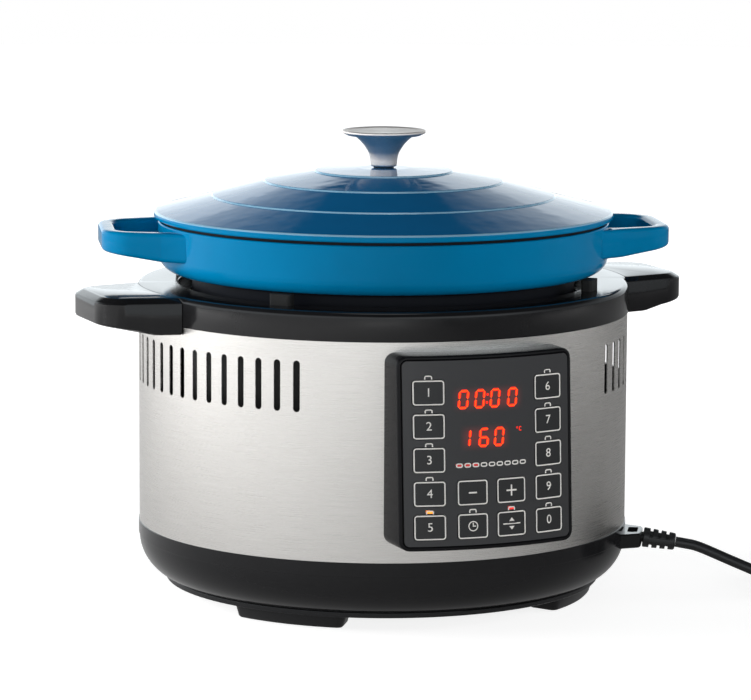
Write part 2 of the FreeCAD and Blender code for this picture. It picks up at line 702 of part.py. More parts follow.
def at_ring(edge, radius):
    """True for the edges of a handle's root, which lie on the ring's cylinder."""
    return all(math.hypot(v.X, v.Y) < radius + 0.01 for v in edge.Vertexes)


def off_middle(edge):
    """True for the edges of a handle's outline, and not for the lines that cross its underside."""
    crossing = edge.BoundBox.YMin < -HANDLE_TIP_HALF_WIDTH / 2 and edge.BoundBox.YMax > HANDLE_TIP_HALF_WIDTH / 2
    return not crossing or edge.BoundBox.XMin > HANDLE_REACH - 0.01


def upright(edge):
    return edge.BoundBox.XLength < 1e-3 and edge.BoundBox.YLength < 1e-3


def rounded(shape, radius, edges):
    return shape.makeFillet(radius, edges) if edges else shape


def ring_screws():
    """Screws that hold the well up to the ring and the handles out to it."""
    length = RING_INNER_DROP - RING_DECK + BOWL_WALL - 0.5
    screws = [screw(Vector(*spot(BOWL_SCREW_RADIUS, 45 + 90 * i), bowl_flange_high - BOWL_WALL), UP, length)
              for i in range(4)]
    channel = spigot_radius - SPIGOT_WALL
    for way in (1, -1):
        for side in (-1, 1):
            y = side * HANDLE_SCREW_SPACING / 2
            seat = math.sqrt(channel ** 2 - (abs(y) + SCREW_HEAD_RADIUS) ** 2) - 0.1
            screws.append(screw(Vector(way * seat, y, handle_screw_level()), Vector(way, 0, 0),
                                HANDLE_SCREW_LENGTH))
    keep("ring_screws", Part.makeCompound(screws))


# Steel band with its vent slots and the panel's window
def outer_shell():
    band = rod(SHELL_RADIUS, shell_low, shell_high).cut(rod(shell_inner, shell_low - 1, shell_high + 1))
    slot_high = shell_high - SLOT_TOP_GAP
    slot = front_prism(0, slot_high - SLOT_LENGTH / 2, SLOT_WIDTH, SLOT_LENGTH, SLOT_WIDTH / 2 - 0.01,
                       SHELL_RADIUS + 4, SHELL_RADIUS - 8)
    tools = [around(slot, side * (SLOT_FIRST_ANGLE + SLOT_PITCH * i))
             for side in (-1, 1) for i in range(SLOTS_PER_SIDE)]
    margin = 2 * PANEL_WINDOW_MARGIN
    tools.append(front_prism(0, panel_middle, 2 * PANEL_HALF_WIDTH - margin, panel_height - margin, 4.0,
                             SHELL_RADIUS + 4, SHELL_RADIUS - 40))
    tools += [rod_y(PANEL_SCREW_RADIUS + SCREW_GAP, SHELL_RADIUS + 4, SHELL_RADIUS - 40, x, z)
              for x, z in post_places()]
    keep("outer_shell", band.cut(tools))


# Control panel
panel_middle = (PANEL_LOWEST + PANEL_HIGHEST) / 2
panel_height = PANEL_HIGHEST - PANEL_LOWEST


def face_space(depth_back, depth_front):
    """Space between two depths behind the panel's leaning face."""
    margin = 10.0
    lean = (PANEL_FOOT_RADIUS - PANEL_TOP_RADIUS) / panel_height
    low, high = PANEL_LOWEST - margin, PANEL_HIGHEST + margin
    foot, top = PANEL_FOOT_RADIUS + lean * margin, PANEL_TOP_RADIUS - lean * margin
    return turned([(foot - depth_back, low), (foot - depth_front, low), (top - depth_front, high),
                   (top - depth_back, high)])


def on_face(edge):
    """True for the edges where a block's sides meet the panel's face."""
    lean = (PANEL_FOOT_RADIUS - PANEL_TOP_RADIUS) / panel_height
    points = [v.Point for v in edge.Vertexes]
    return all(abs(math.hypot(p.x, p.y) - (PANEL_FOOT_RADIUS - lean * (p.z - PANEL_LOWEST))) < 0.05
               for p in points)


def panel_block(inset, corner, front=200.0, back=120.0):
    return front_prism(0, panel_middle, 2 * (PANEL_HALF_WIDTH - inset), panel_height - 2 * inset, corner,
                       front, back)


def post_places():
    x = PANEL_HALF_WIDTH - POST_INSET
    return [(sx * x, z) for sx in (-1, 1) for z in (PANEL_LOWEST + POST_INSET, PANEL_HIGHEST - POST_INSET)]


def keys():
    """Name, column and row of each key; the row counts up from the foot."""
    left = ("bake", "manual", "soup", "sear", "slow_cook")
    right = ("keep_warm", "stir_fry", "roast", "stew", "braise")
    places = [(name, -KEY_OUTER_COLUMN, row) for row, name in enumerate(left)]
    places += [(name, KEY_OUTER_COLUMN, row) for row, name in enumerate(right)]
    places += [("delay", -KEY_INNER_COLUMN, 0), ("temp_timer", KEY_INNER_COLUMN, 0)]
    places += [("minus", -KEY_INNER_COLUMN, 1), ("plus", KEY_INNER_COLUMN, 1)]
    return [(name, x, KEY_ROW_LOWEST + KEY_ROW_PITCH * row) for name, x, row in places]


def light_places():
    lit = [(x, z + PIPE_RISE) for name, x, z in keys() if name not in ("minus", "plus")]
    first = -STAGE_PITCH * (STAGE_LIGHTS - 1) / 2
    return lit + [(first + STAGE_PITCH * i, STAGE_LEVEL) for i in range(STAGE_LIGHTS)]


def control_panel():
    board_back = DISPLAY_BOARD_FRONT - BOARD_THICKNESS
    outside = rod(SHELL_RADIUS, PANEL_LOWEST - 20, PANEL_HIGHEST + 20)
    body = panel_block(0, PANEL_CORNER).common(face_space(40, 0)).Solids[0]
    body = rounded(body, PANEL_EDGE_ROUND, [e for e in body.Edges if on_face(e)])
    body = body.cut([outside, panel_block(PANEL_WALL, PANEL_CORNER - PANEL_WALL)])
    ledge = panel_block(PANEL_WALL - 0.2, PANEL_CORNER - PANEL_WALL).cut(
        panel_block(PANEL_WALL + PANEL_LEDGE, 1.4))
    ledge = ledge.common(face_space(FASCIA_THICKNESS + PANEL_LEDGE_DEPTH, FASCIA_THICKNESS))
    posts = []
    bores = []
    for x, z in post_places():
        reach = rod_y(POST_RADIUS, 200, DISPLAY_BOARD_FRONT, x, z).common(face_space(40, FASCIA_THICKNESS))
        posts += [reach, rod_y(POST_PIN_RADIUS, DISPLAY_BOARD_FRONT, SHELL_RADIUS - 30, x, z).cut(outside)]
        bores.append(rod_y(PANEL_SCREW_RADIUS + SCREW_GAP, DISPLAY_BOARD_FRONT + 4, SHELL_RADIUS - 40, x, z))
    keep("panel_housing", body.fuse([ledge] + posts).cut(bores))
    fascia = panel_block(PANEL_WALL + FASCIA_GAP, PANEL_CORNER - PANEL_WALL - FASCIA_GAP)
    fascia = fascia.common(face_space(FASCIA_THICKNESS, 0))
    openings = [front_prism(x, z, KEY_WIDTH + 2 * SEAT_GAP, KEY_HEIGHT + 2 * SEAT_GAP, KEY_ROUND + SEAT_GAP,
                            200, 120)
                for name, x, z in keys()]
    openings += [front_prism(x, z, PIPE_WIDTH + 2 * PIPE_GAP, PIPE_HEIGHT + 2 * PIPE_GAP, 0, 200, 120)
                 for x, z in light_places()]
    keep("panel_fascia", fascia.cut(openings))
    pipes = [front_prism(x, z, PIPE_WIDTH, PIPE_HEIGHT, 0, 200, DISPLAY_BOARD_FRONT).common(face_space(60, 0))
             for x, z in light_places()]
    keep("light_pipes", Part.makeCompound(pipes))
    board = front_prism(0, panel_middle, 2 * (PANEL_HALF_WIDTH - PANEL_WALL - SEAT_GAP),
                        panel_height - 2 * (PANEL_WALL + SEAT_GAP), PANEL_CORNER - PANEL_WALL,
                        DISPLAY_BOARD_FRONT, board_back)
    board = board.cut([rod_y(POST_PIN_RADIUS + SCREW_GAP, 200, 120, x, z) for x, z in post_places()])
    keep("display_board", board)
    for name, size, level in (("time_display", TIME_DISPLAY, TIME_LEVEL),
                              ("temperature_display", TEMPERATURE_DISPLAY, TEMPERATURE_LEVEL)):
        radius = PANEL_TOP_RADIUS - FASCIA_THICKNESS - DISPLAY_GAP
        front = math.sqrt(radius ** 2 - (size[0] / 2) ** 2)
        keep(name, front_prism(0, level, size[0], size[1], 0, front, DISPLAY_BOARD_FRONT))
    switch_front = DISPLAY_BOARD_FRONT + SWITCH_HEIGHT
    switches = []
    for name, x, z in keys():
        switches.append(front_prism(x, z, SWITCH_SIZE, SWITCH_SIZE, 0, switch_front, DISPLAY_BOARD_FRONT))
        cap = front_prism(x, z, KEY_WIDTH, KEY_HEIGHT, KEY_ROUND, 200, 120)
        cap = cap.common(face_space(KEY_DEPTH, -KEY_PROUD))
        flange = front_prism(x, z, KEY_WIDTH + 2 * KEY_FLANGE, KEY_HEIGHT + 2 * KEY_FLANGE, KEY_ROUND, 200,
                             120)
        flange = flange.common(face_space(KEY_DEPTH, FASCIA_THICKNESS + KEY_FLANGE_GAP))
        stem = rod_y(KEY_STEM_RADIUS, 200, switch_front + SWITCH_GAP, x,
                     z).common(face_space(40, KEY_DEPTH - 0.5))
        keep(name + "_key", cap.fuse([flange, stem]))
    keep("key_switches", Part.makeCompound(switches))
    screws = []
    for x, z in post_places():
        seat = math.sqrt((shell_inner - 0.02) ** 2 - (abs(x) + PANEL_SCREW_HEAD_RADIUS) ** 2)
        screws.append(screw(Vector(x, -seat, z), Vector(0, -1, 0), DISPLAY_BOARD_FRONT - seat + 3,
                            PANEL_SCREW_RADIUS, PANEL_SCREW_HEAD_RADIUS, PANEL_SCREW_HEAD))
    keep("panel_screws", Part.makeCompound(screws))


# Base, bottom plate, feet and the electrics between them
def base():
    channel = spigot_radius - SPIGOT_WALL
    floor = base_low + BASE_FLANGE
    corner = shell_low - BASE_CORNER_DROP
    wall = BASE_RADIUS - channel
    bowl_radius = BASE_RADIUS - BASE_STEP
    bowl = turned([(BASE_EDGE_RADIUS, base_low), (bowl_radius, corner, BASE_CORNER_RADIUS),
                   (bowl_radius, shell_low - BASE_BAND), (BASE_RADIUS, shell_low - BASE_BAND, 0.2),
                   (BASE_RADIUS, shell_low, 0.4),
                   (spigot_radius, shell_low), (spigot_radius, shell_low + SPIGOT_HEIGHT),
                   (channel, shell_low + SPIGOT_HEIGHT),
                   (channel, corner + BASE_FLANGE, BASE_CORNER_RADIUS - wall),
                   (BASE_EDGE_RADIUS - 2, floor), (BASE_MOUTH_RADIUS, floor), (BASE_MOUTH_RADIUS, base_low)])
    bosses = [rod(BASE_BOSS_RADIUS, floor - 0.5, floor + BASE_BOSS_HEIGHT, *spot(BASE_SCREW_RADIUS, 90 * i))
              for i in range(4)]
    box = plan_prism([(-CORD_BOX_ROOT_HALF_WIDTH, -channel - 1),
                      (-CORD_BOX_ROOT_HALF_WIDTH, -BASE_RADIUS + 2),
                      (-CORD_BOX_TIP_HALF_WIDTH, -CORD_BOX_REACH, 2.0),
                      (CORD_BOX_TIP_HALF_WIDTH, -CORD_BOX_REACH, 2.0),
                      (CORD_BOX_ROOT_HALF_WIDTH, -BASE_RADIUS + 2), (CORD_BOX_ROOT_HALF_WIDTH, -channel - 1)],
                     CORD_BOX_LOW, CORD_BOX_HIGH)
    pocket = plan_prism([(sx * CORD_BOX_POCKET_HALF_WIDTH, y)
                         for sx, y in ((-1, -CORD_BOX_POCKET_INNER), (-1, -CORD_BOX_REACH + CORD_BOX_WALL),
                                       (1, -CORD_BOX_REACH + CORD_BOX_WALL), (1, -CORD_BOX_POCKET_INNER))],
                        CORD_BOX_LOW + CORD_BOX_WALL / 2, CORD_BOX_HIGH + 1)
    bore = Part.makeCylinder(BOOT_NECK_RADIUS + SEAT_GAP, CORD_BOX_REACH + 7 - channel,
                             Vector(0, -CORD_BOX_REACH - 5, BOOT_LEVEL), Vector(0, 1, 0))
    bowl = bowl.fuse(bosses + [around(box, CORD_ANGLE)])
    holes = [rod(SCREW_RADIUS + SCREW_GAP, base_low - 1, floor + BASE_BOSS_HEIGHT + 1,
                 *spot(BASE_SCREW_RADIUS, 90 * i))
             for i in range(4)]
    keep("base", bowl.cut(holes + [around(pocket, CORD_ANGLE), around(bore, CORD_ANGLE)]))


def board_corners():
    x, y = BOARD_LENGTH / 2 - BOARD_MARGIN, BOARD_WIDTH / 2 - BOARD_MARGIN
    return [(sx * x, sy * y) for sx in (-1, 1) for sy in (-1, 1)]


def base_plate():
    land_radius = PLATE_RADIUS - PLATE_GROOVE_DEPTH
    spigot = BASE_MOUTH_RADIUS - SEAT_GAP
    high = plate_low + PLATE_THICKNESS
    disc = turned([(0, plate_low), (PLATE_RADIUS, plate_low, 0.8),
                   (PLATE_RADIUS, plate_low + PLATE_EDGE, 0.5),
                   (land_radius, plate_low + PLATE_EDGE), (land_radius, base_low), (spigot, base_low),
                   (spigot, base_low + PLATE_SPIGOT), (spigot - PLATE_SPIGOT_WALL, base_low + PLATE_SPIGOT),
                   (spigot - PLATE_SPIGOT_WALL, high), (0, high)])
    posts = [rod(BOARD_POST_RADIUS, high - 0.5, board_low, x, y) for x, y in board_corners()]
    vent = plan_prism([(sx * PLATE_VENT_WIDTH / 2, -PLATE_VENT_RADIUS + sy * PLATE_VENT_LENGTH / 2,
                        PLATE_VENT_WIDTH / 2 - 0.01) for sx, sy in ((-1, -1), (1, -1), (1, 1), (-1, 1))],
                      plate_low - 1, high + 1)
    step = 360 / PLATE_VENTS
    vents = [around(vent, step * (i + 0.5)) for i in range(PLATE_VENTS)]
    vents = [v for v in vents if all(v.distToShape(p)[0] > 1.0 for p in posts)]
    sunk = plate_low + SCREW_HEAD + 0.4
    bores = [rod(SCREW_RADIUS + SCREW_GAP, plate_low - 1, base_low + 5,
                 *spot(BASE_SCREW_RADIUS, 90 * i)) for i in range(4)]
    bores += [rod(SCREW_HEAD_RADIUS + SEAT_GAP, plate_low - 1, sunk,
                  *spot(BASE_SCREW_RADIUS, 90 * i)) for i in range(4)]
    bores += [rod(FOOT_PEG_RADIUS + SCREW_GAP, plate_low - 1, high + 1, *spot(foot_middle(), angle))
              for name, angle in feet_places()]
    bores += [rod(SCREW_RADIUS + SCREW_GAP, high + 2, board_low + 1, x, y) for x, y in board_corners()]
    keep("base_plate", disc.fuse(posts).cut(vents + bores))
    keep("base_screws", Part.makeCompound([
        screw(Vector(*spot(BASE_SCREW_RADIUS, 90 * i), sunk), UP, BASE_BOSS_HEIGHT + 3) for i in range(4)]))


def feet_places():
    return (("front_right_foot", FOOT_ANGLE), ("front_left_foot", -FOOT_ANGLE),
            ("rear_right_foot", 180 - FOOT_ANGLE), ("rear_left_foot", FOOT_ANGLE - 180))


def foot_middle():
    return (FOOT_INNER_RADIUS + FOOT_OUTER_RADIUS) / 2


def foot_outline(level, draft):
    """Kidney outline at a level: two arcs about the axis joined by straight ends."""
    inner, outer = FOOT_INNER_RADIUS + draft, FOOT_OUTER_RADIUS - draft
    turn = FOOT_SPREAD / 2 - math.degrees(draft / outer)
    at = [Vector(*spot(radius, angle), level) for radius in (outer, inner) for angle in (-turn, 0, turn)]
    edges = [Part.Arc(at[0], at[1], at[2]).toShape(), Part.LineSegment(at[2], at[5]).toShape(),
             Part.Arc(at[5], at[4], at[3]).toShape(), Part.LineSegment(at[3], at[0]).toShape()]
    return Part.Wire(edges)


def feet():
    foot = Part.makeLoft([foot_outline(FOOT_PAD_PROUD, FOOT_DRAFT), foot_outline(plate_low, 0)], True, True)
    upright = [e for e in foot.Edges if e.BoundBox.ZLength > FOOT_HEIGHT * 0.9]
    foot = foot.makeFillet(6.0, upright)
    middle = -foot_middle()
    foot = foot.fuse(rod(FOOT_PEG_RADIUS, plate_low - 0.5, plate_low + PLATE_THICKNESS, 0, middle))
    pad_high = FOOT_PAD_PROUD + FOOT_PAD_SUNK
    foot = foot.cut(rod(FOOT_PAD_RADIUS + SCREW_GAP, 0, pad_high, 0, middle))
    pad = rod(FOOT_PAD_RADIUS, 0, pad_high, 0, middle)
    for name, angle in feet_places():
        keep(name, around(foot, angle))
    keep("foot_pads", Part.makeCompound([around(pad, angle) for name, angle in feet_places()]))


def electrics():
    high = board_low + BOARD_THICKNESS
    board = Part.makeBox(BOARD_LENGTH, BOARD_WIDTH, BOARD_THICKNESS,
                         Vector(-BOARD_LENGTH / 2, -BOARD_WIDTH / 2, board_low))
    holes = [rod(SCREW_RADIUS + SCREW_GAP, board_low - 1, high + 1, x, y) for x, y in board_corners()]
    keep("power_board", board.cut(holes))
    keep("board_screws", Part.makeCompound([
        screw(Vector(x, y, high), Vector(0, 0, -1), BOARD_HEIGHT * 0.6) for x, y in board_corners()]))
    keep("relay", Part.makeBox(*RELAY_SIZE, Vector(-BOARD_LENGTH / 4 - RELAY_SIZE[0] / 2, -RELAY_SIZE[1] / 2,
                                                   high)))
    size = TRANSFORMER_SIZE
    core = Part.makeBox(*size, Vector(BOARD_LENGTH / 4 - size[0] / 2, -size[1] / 2, high))
    bobbin = Part.makeBox(size[0] * 0.5, size[1] + 8, size[2] * 0.7,
                          Vector(BOARD_LENGTH / 4 - size[0] * 0.25, -size[1] / 2 - 4, high + size[2] * 0.15))
    keep("transformer", core.fuse(bobbin))
    keep("filter_capacitor", rod(CAPACITOR_RADIUS, high, high + CAPACITOR_HEIGHT))


# Cord: strain relief, the stretch that shows, the stored coil with its tie, and the plug
turn_out = math.radians(CORD_ANGLE)
cord_out = Vector(math.sin(turn_out), -math.cos(turn_out), 0)
cord_left = Vector(-cord_out.y, cord_out.x, 0)
boot_way = cord_out * math.cos(math.radians(BOOT_TILT)) - UP * math.sin(math.radians(BOOT_TILT))
boot_start = cord_out * CORD_BOX_REACH + UP * BOOT_LEVEL
boot_end = boot_start + boot_way * BOOT_LENGTH
coil_level = TIE_THICKNESS + TIE_GAP + CORD_DIAMETER / 2
# Points of the stretch that shows, after the strain relief: distance from the axis, and height
LEAD_POINTS = ((196.5, 31.0), (216.0, 22.8), (238.0, 14.0), (256.0, 6.8), (271.0, coil_level),
               (279.0, coil_level))
coil_start = cord_out * (LEAD_POINTS[-1][0] + COIL_STRAIGHT)
coil_centre = coil_start + cord_left * COIL_OUTER_RADIUS


def cord_boot():
    outline = [(0, 0), (BOOT_RADIUS, 0, 0.8)]
    pitch = BOOT_LENGTH / (BOOT_GROOVES + 1)
    taper = (BOOT_RADIUS - BOOT_TIP_RADIUS) / BOOT_LENGTH
    for i in range(BOOT_GROOVES):
        low = pitch * (i + 1) - BOOT_GROOVE / 2
        radius = BOOT_RADIUS - taper * low
        outline += [(radius, low), (radius - BOOT_GROOVE_DEPTH, low),
                    (radius - BOOT_GROOVE_DEPTH, low + BOOT_GROOVE),
                    (radius, low + BOOT_GROOVE)]
    outline += [(BOOT_TIP_RADIUS, BOOT_LENGTH, 1.2), (0, BOOT_LENGTH)]
    sleeve = turned(outline)
    sleeve.Placement = FreeCAD.Placement(boot_start + cord_out * BOOT_SEAT, FreeCAD.Rotation(UP, boot_way))
    neck = Part.makeCylinder(BOOT_NECK_RADIUS, 9.0, boot_start - cord_out * 6.0, cord_out)
    keep("cord_boot", sleeve.fuse(neck))


def cord_lead():
    tip = boot_end + cord_out * BOOT_SEAT + boot_way * SCREW_GAP
    points = [tip] + [cord_out * reach + UP * level for reach, level in LEAD_POINTS]
    edges = []
    start = points[0]
    radii = []
    for i in range(1, len(points) - 1):
        back, ahead = points[i - 1] - points[i], points[i + 1] - points[i]
        half_turn = (math.pi - back.getAngle(ahead)) / 2
        reach = 0.45 * min(back.Length, ahead.Length)
        radii.append(reach / math.tan(half_turn))
        back.normalize()
        ahead.normalize()
        enter, leave = points[i] + back * reach, points[i] + ahead * reach
        edges.append(Part.LineSegment(start, enter).toShape())
        edges.append(arc_or_line(enter, points[i], leave))
        start = leave
    edges.append(Part.LineSegment(start, points[-1]).toShape())
    way = points[1] - points[0]
    way.normalize()
    tube = sweep_tube(edges, CORD_DIAMETER / 2, points[0], way)
    length = sum(edge.Length for edge in edges)
    section = math.pi * CORD_DIAMETER ** 2 / 4
    print("cord lead: bend radii", [round(r) for r in radii], "length %.1f" % length,
          "volume / (section x length) %.4f" % (tube.Volume / (section * length)))
    keep("cord_lead", tube)
    return length


def coil_point(share):
    """Lower layer winds inwards, climbs in half a turn, and the upper layer winds out again."""
    turns = 2 * COIL_LAYER_TURNS + COIL_CLIMB_TURNS
    turn = turns * share
    past = turn - COIL_LAYER_TURNS
    inner = COIL_OUTER_RADIUS - COIL_STEP * COIL_LAYER_TURNS
    if past <= 0:
        radius, rise = COIL_OUTER_RADIUS - COIL_STEP * turn, 0.0
    elif past >= COIL_CLIMB_TURNS:
        radius, rise = inner + COIL_STEP * (past - COIL_CLIMB_TURNS), 1.0
    else:
        part = past / COIL_CLIMB_TURNS
        radius = inner - COIL_STEP * COIL_CLIMB_TURNS * part * (1 - part)
        rise = part * part * (3 - 2 * part)
    angle = 2 * math.pi * turn
    across = cord_out * math.sin(angle) - cord_left * math.cos(angle)
    return coil_centre + across * radius + UP * (coil_level + COIL_STEP * rise)


def cord_coil():
    turns = 2 * COIL_LAYER_TURNS + COIL_CLIMB_TURNS
    tube = wound_tube(coil_point, round(8 * turns), CORD_DIAMETER / 2, COIL_STRAIGHT, COIL_TAIL)
    keep("cord_coil", tube)
    count = 240
    marks = [coil_point(i / count) for i in range(count + 1)]
    per_turn = count / turns
    gap = min((marks[i] - marks[j]).Length for i in range(count + 1) for j in range(i)
              if i - j > per_turn * 0.4) - CORD_DIAMETER
    length = COIL_STRAIGHT + COIL_TAIL + sum((marks[i + 1] - marks[i]).Length for i in range(count))
    print("cord coil: least gap to itself %.2f mm, length %.0f mm" % (gap, length))
    return length


def coil_tie():
    turn = math.radians(TIE_ANGLE)
    outward = cord_out * math.sin(turn) - cord_left * math.cos(turn)
    along = cord_out * math.cos(turn) + cord_left * math.sin(turn)
    slack = CORD_DIAMETER / 2 + TIE_GAP
    turns = 2 * COIL_LAYER_TURNS + COIL_CLIMB_TURNS
    passes = [TIE_ANGLE / 360 + i for i in range(int(turns) + 1) if TIE_ANGLE / 360 + i < turns]
    reaches = [(coil_point(p / turns) - coil_centre).dot(outward) for p in passes]
    inner = min(reaches) - CORD_DIAMETER / 2 - TIE_SIDE_GAP
    outer = max(reaches) + CORD_DIAMETER / 2 + TIE_SIDE_GAP
    low, high = coil_level - slack, coil_level + COIL_STEP + slack

    def loop(grow, round_radius):
        return face([(inner - grow, low - grow, round_radius), (outer + grow, low - grow, round_radius),
                     (outer + grow, high + grow, round_radius), (inner - grow, high + grow, round_radius)],
                    lambda p: coil_centre + outward * p.x + UP * p.y - along * (TIE_WIDTH / 2))
    band = loop(TIE_THICKNESS, 3.0).extrude(along * TIE_WIDTH).cut(loop(0, 2.2).extrude(along * TIE_WIDTH))
    keep("coil_tie", band)


def plug():
    way = slope(coil_point, 1)
    way.z = 0
    way.normalize()
    start = coil_point(1) + way * COIL_TAIL
    level = start.z
    side = Vector(way.y, -way.x, 0)
    plan = [(0, -PLUG_TAIL_HALF_WIDTH, 2.0), (PLUG_LENGTH * 0.55, -PLUG_FACE_HALF_WIDTH, 8.0),
            (PLUG_LENGTH, -PLUG_FACE_HALF_WIDTH, PLUG_ROUND), (PLUG_LENGTH, PLUG_FACE_HALF_WIDTH, PLUG_ROUND),
            (PLUG_LENGTH * 0.55, PLUG_FACE_HALF_WIDTH, 8.0), (0, PLUG_TAIL_HALF_WIDTH, 2.0)]
    body = plan_prism(plan, -level, level)
    body = body.common(side_prism([(0, -PLUG_TAIL_HALF_WIDTH), (PLUG_LENGTH * 0.5, -level, 6.0),
                                   (PLUG_LENGTH, -level),
                                   (PLUG_LENGTH, level), (PLUG_LENGTH * 0.5, level, 6.0),
                                   (0, PLUG_TAIL_HALF_WIDTH)], 40))
    blade = Part.makeBox(PIN_LENGTH, PIN_THICKNESS, PIN_WIDTH,
                         Vector(PLUG_LENGTH, -PIN_THICKNESS / 2, -PIN_WIDTH / 2))
    pins = [blade.rotated(Vector(0, 0, 0), Vector(1, 0, 0),
                          side * PIN_LEAN).translated(Vector(0, side * PIN_SPREAD, 0))
            for side in (-1, 1)]
    pins.append(blade.translated(Vector(0, 0, -PIN_DROP)))
    turn_to = FreeCAD.Placement(start, FreeCAD.Rotation(Vector(1, 0, 0), way))
    for shape in [body] + pins:
        shape.Placement = turn_to.multiply(shape.Placement)
    keep("plug_body", body)
    keep("plug_pins", Part.makeCompound(pins))


for build in (lid, lid_knob, pot, heated_well, sensor, top_ring, side_handles, ring_screws, outer_shell,
              control_panel, base,
              base_plate, feet, electrics, cord_boot):
    build()
cord_length = BOOT_LENGTH + cord_lead() + cord_coil()
coil_tie()
plug()
print("cord length %.0f mm from the housing to the plug" % cord_length)

os.makedirs("parts", exist_ok=True)
for name, shape in nodes.items():
    shape.translate(Vector(0, axis_behind_origin, 0))
    shape.exportStep("parts/%s.step" % name)
    print("%-22s solids %2d volume %10.1f valid %s" % (name, len(shape.Solids), shape.Volume,
                                                       shape.isValid()))
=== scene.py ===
"""Looks of an electric cast-iron cooker: enamelled pot and lid in a steel housing with a key panel."""
import math

import bmesh
import bpy
from mathutils import Matrix, Vector


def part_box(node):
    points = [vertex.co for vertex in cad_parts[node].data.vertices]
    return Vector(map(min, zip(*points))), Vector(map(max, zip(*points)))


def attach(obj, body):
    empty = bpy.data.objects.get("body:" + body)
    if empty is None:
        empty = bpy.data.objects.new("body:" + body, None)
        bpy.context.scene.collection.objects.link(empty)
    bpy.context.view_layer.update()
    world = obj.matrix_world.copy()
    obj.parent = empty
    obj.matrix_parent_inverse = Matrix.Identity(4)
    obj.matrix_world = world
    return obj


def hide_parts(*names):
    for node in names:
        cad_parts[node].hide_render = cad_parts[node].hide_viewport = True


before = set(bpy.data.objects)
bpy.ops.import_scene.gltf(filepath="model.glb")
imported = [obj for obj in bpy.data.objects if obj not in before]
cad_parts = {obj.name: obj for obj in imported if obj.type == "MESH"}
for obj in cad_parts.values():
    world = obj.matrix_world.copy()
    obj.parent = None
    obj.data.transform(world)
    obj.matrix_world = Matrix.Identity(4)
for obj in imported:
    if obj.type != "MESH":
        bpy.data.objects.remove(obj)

scene = bpy.context.scene
scene.view_settings.view_transform = "Standard"
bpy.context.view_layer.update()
MM = 0.001

# The pot, the housing and the lid are all turned about one upright axis.
# It stands a little behind the frame's origin, because the panel makes the housing deeper in front.
plate_low, plate_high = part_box("heating_plate")
axis = Vector(((plate_low.x + plate_high.x) / 2, (plate_low.y + plate_high.y) / 2, 0))
on_axis = Matrix.Translation(axis)


# Camera: where the picture was taken from, a long lens looking slightly down on the cooker.
# Its place and aim were fitted to the ellipses of the rims.
CAMERA_PLACE = (-0.8701, -2.1705, 0.497)
CAMERA_HEADING = math.radians(21.63)
CAMERA_PITCH = math.radians(8.43)
CAMERA_ROLL = math.radians(0.273)
CAMERA_LENS = 183.55
CAMERA_SENSOR = 36.0
camera = bpy.data.objects.new("camera", bpy.data.cameras.new("camera"))
camera.data.sensor_fit = "HORIZONTAL"
camera.data.sensor_width = CAMERA_SENSOR
camera.data.lens = CAMERA_LENS
camera.matrix_world = (Matrix.Translation(CAMERA_PLACE) @ Matrix.Rotation(-CAMERA_HEADING, 4, "Z")
                       @ Matrix.Rotation(math.pi / 2 - CAMERA_PITCH, 4, "X")
                       @ Matrix.Rotation(CAMERA_ROLL, 4, "Z"))
scene.collection.objects.link(camera)
scene.camera = camera


# Floor and studio: a seamless white sweep with low soft boxes on four sides.
# The gloss shows cool white walls, grey cloth on the right and a dark card above, in line with the lens.
FLOOR_RADIUS, FLOOR_SIDES = 5.0, 64
FLOOR_COLOUR = (0.45, 0.45, 0.45, 1)
FLOOR_ROUGHNESS = 0.9
FLOOR_NEAR, FLOOR_FAR = 0.35, 0.9
FLOOR_LIFT, FLOOR_FAR_LIFT = 0.84, 1.05
FLOOR_DULL, FLOOR_SHEEN = 0.04, 0.82
WORLD_LIGHT = 0.12
WALL_COLOUR = (0.90, 0.965, 1.0, 1)
LAMPS = {"left_box": ((-2.2, 0.85, 0.5), 1.5, 80.0), "front_box": ((-1.0, -2.5, 0.42), 1.0, 27.0),
         "back_box": ((0.9, 2.2, 0.45), 1.4, 5.0), "right_box": ((2.2, -0.8, 0.5), 1.2, 25.0)}
LAMP_AIM = Vector((0, 0, 0.15))
CARD_HEADING = math.radians(21.6)
CARD_HALF, CARD_CLEAR = 0.07, 0.09
WALLS = {"right_cloth": ("X", 0.50, 0.95, 1.86, 0.5), "front": ("Y", -0.9, 0.0, 0.8, 1.0),
         "low": ("Z", 0.33, 0.40, 1.0, 0.02), "high": ("Z", 0.33, 0.58, 0.7, 0.0),
         "overhead": ("Z", 0.97, 0.995, 0.0, 1.5)}


def link(tree, source, socket, target, name):
    tree.links.new(source.outputs[socket], target.inputs[name])


def node(tree, kind, **settings):
    made = tree.nodes.new(kind)
    for name, value in settings.items():
        setattr(made, name, value)
    return made


def maths(tree, operation, *terms):
    """Math node on numbers and on other nodes, where a pair gives a node and the name of its output."""
    made = node(tree, "ShaderNodeMath", operation=operation)
    for place, term in enumerate(terms):
        if isinstance(term, (int, float)):
            made.inputs[place].default_value = term
        else:
            source, socket = term if isinstance(term, tuple) else (term, 0)
            link(tree, source, socket, made, place)
    return made


def graded(tree, source, socket, start, end, low=0.0, high=1.0, soft=False):
    """A value that goes from low to high as a node's output goes from start to end."""
    made = node(tree, "ShaderNodeMapRange", interpolation_type="SMOOTHSTEP" if soft else "LINEAR")
    for name, value in (("From Min", start), ("From Max", end), ("To Min", low), ("To Max", high)):
        made.inputs[name].default_value = value
    link(tree, source, socket, made, "Value")
    return made


def new_material(name):
    """A material, its node tree and its shader."""
    made = bpy.data.materials.new(name)
    made.use_nodes = True
    return made, made.node_tree, made.node_tree.nodes["Principled BSDF"]


def object_from(name, mesh):
    made = bpy.data.objects.new(name, mesh)
    scene.collection.objects.link(made)
    return made


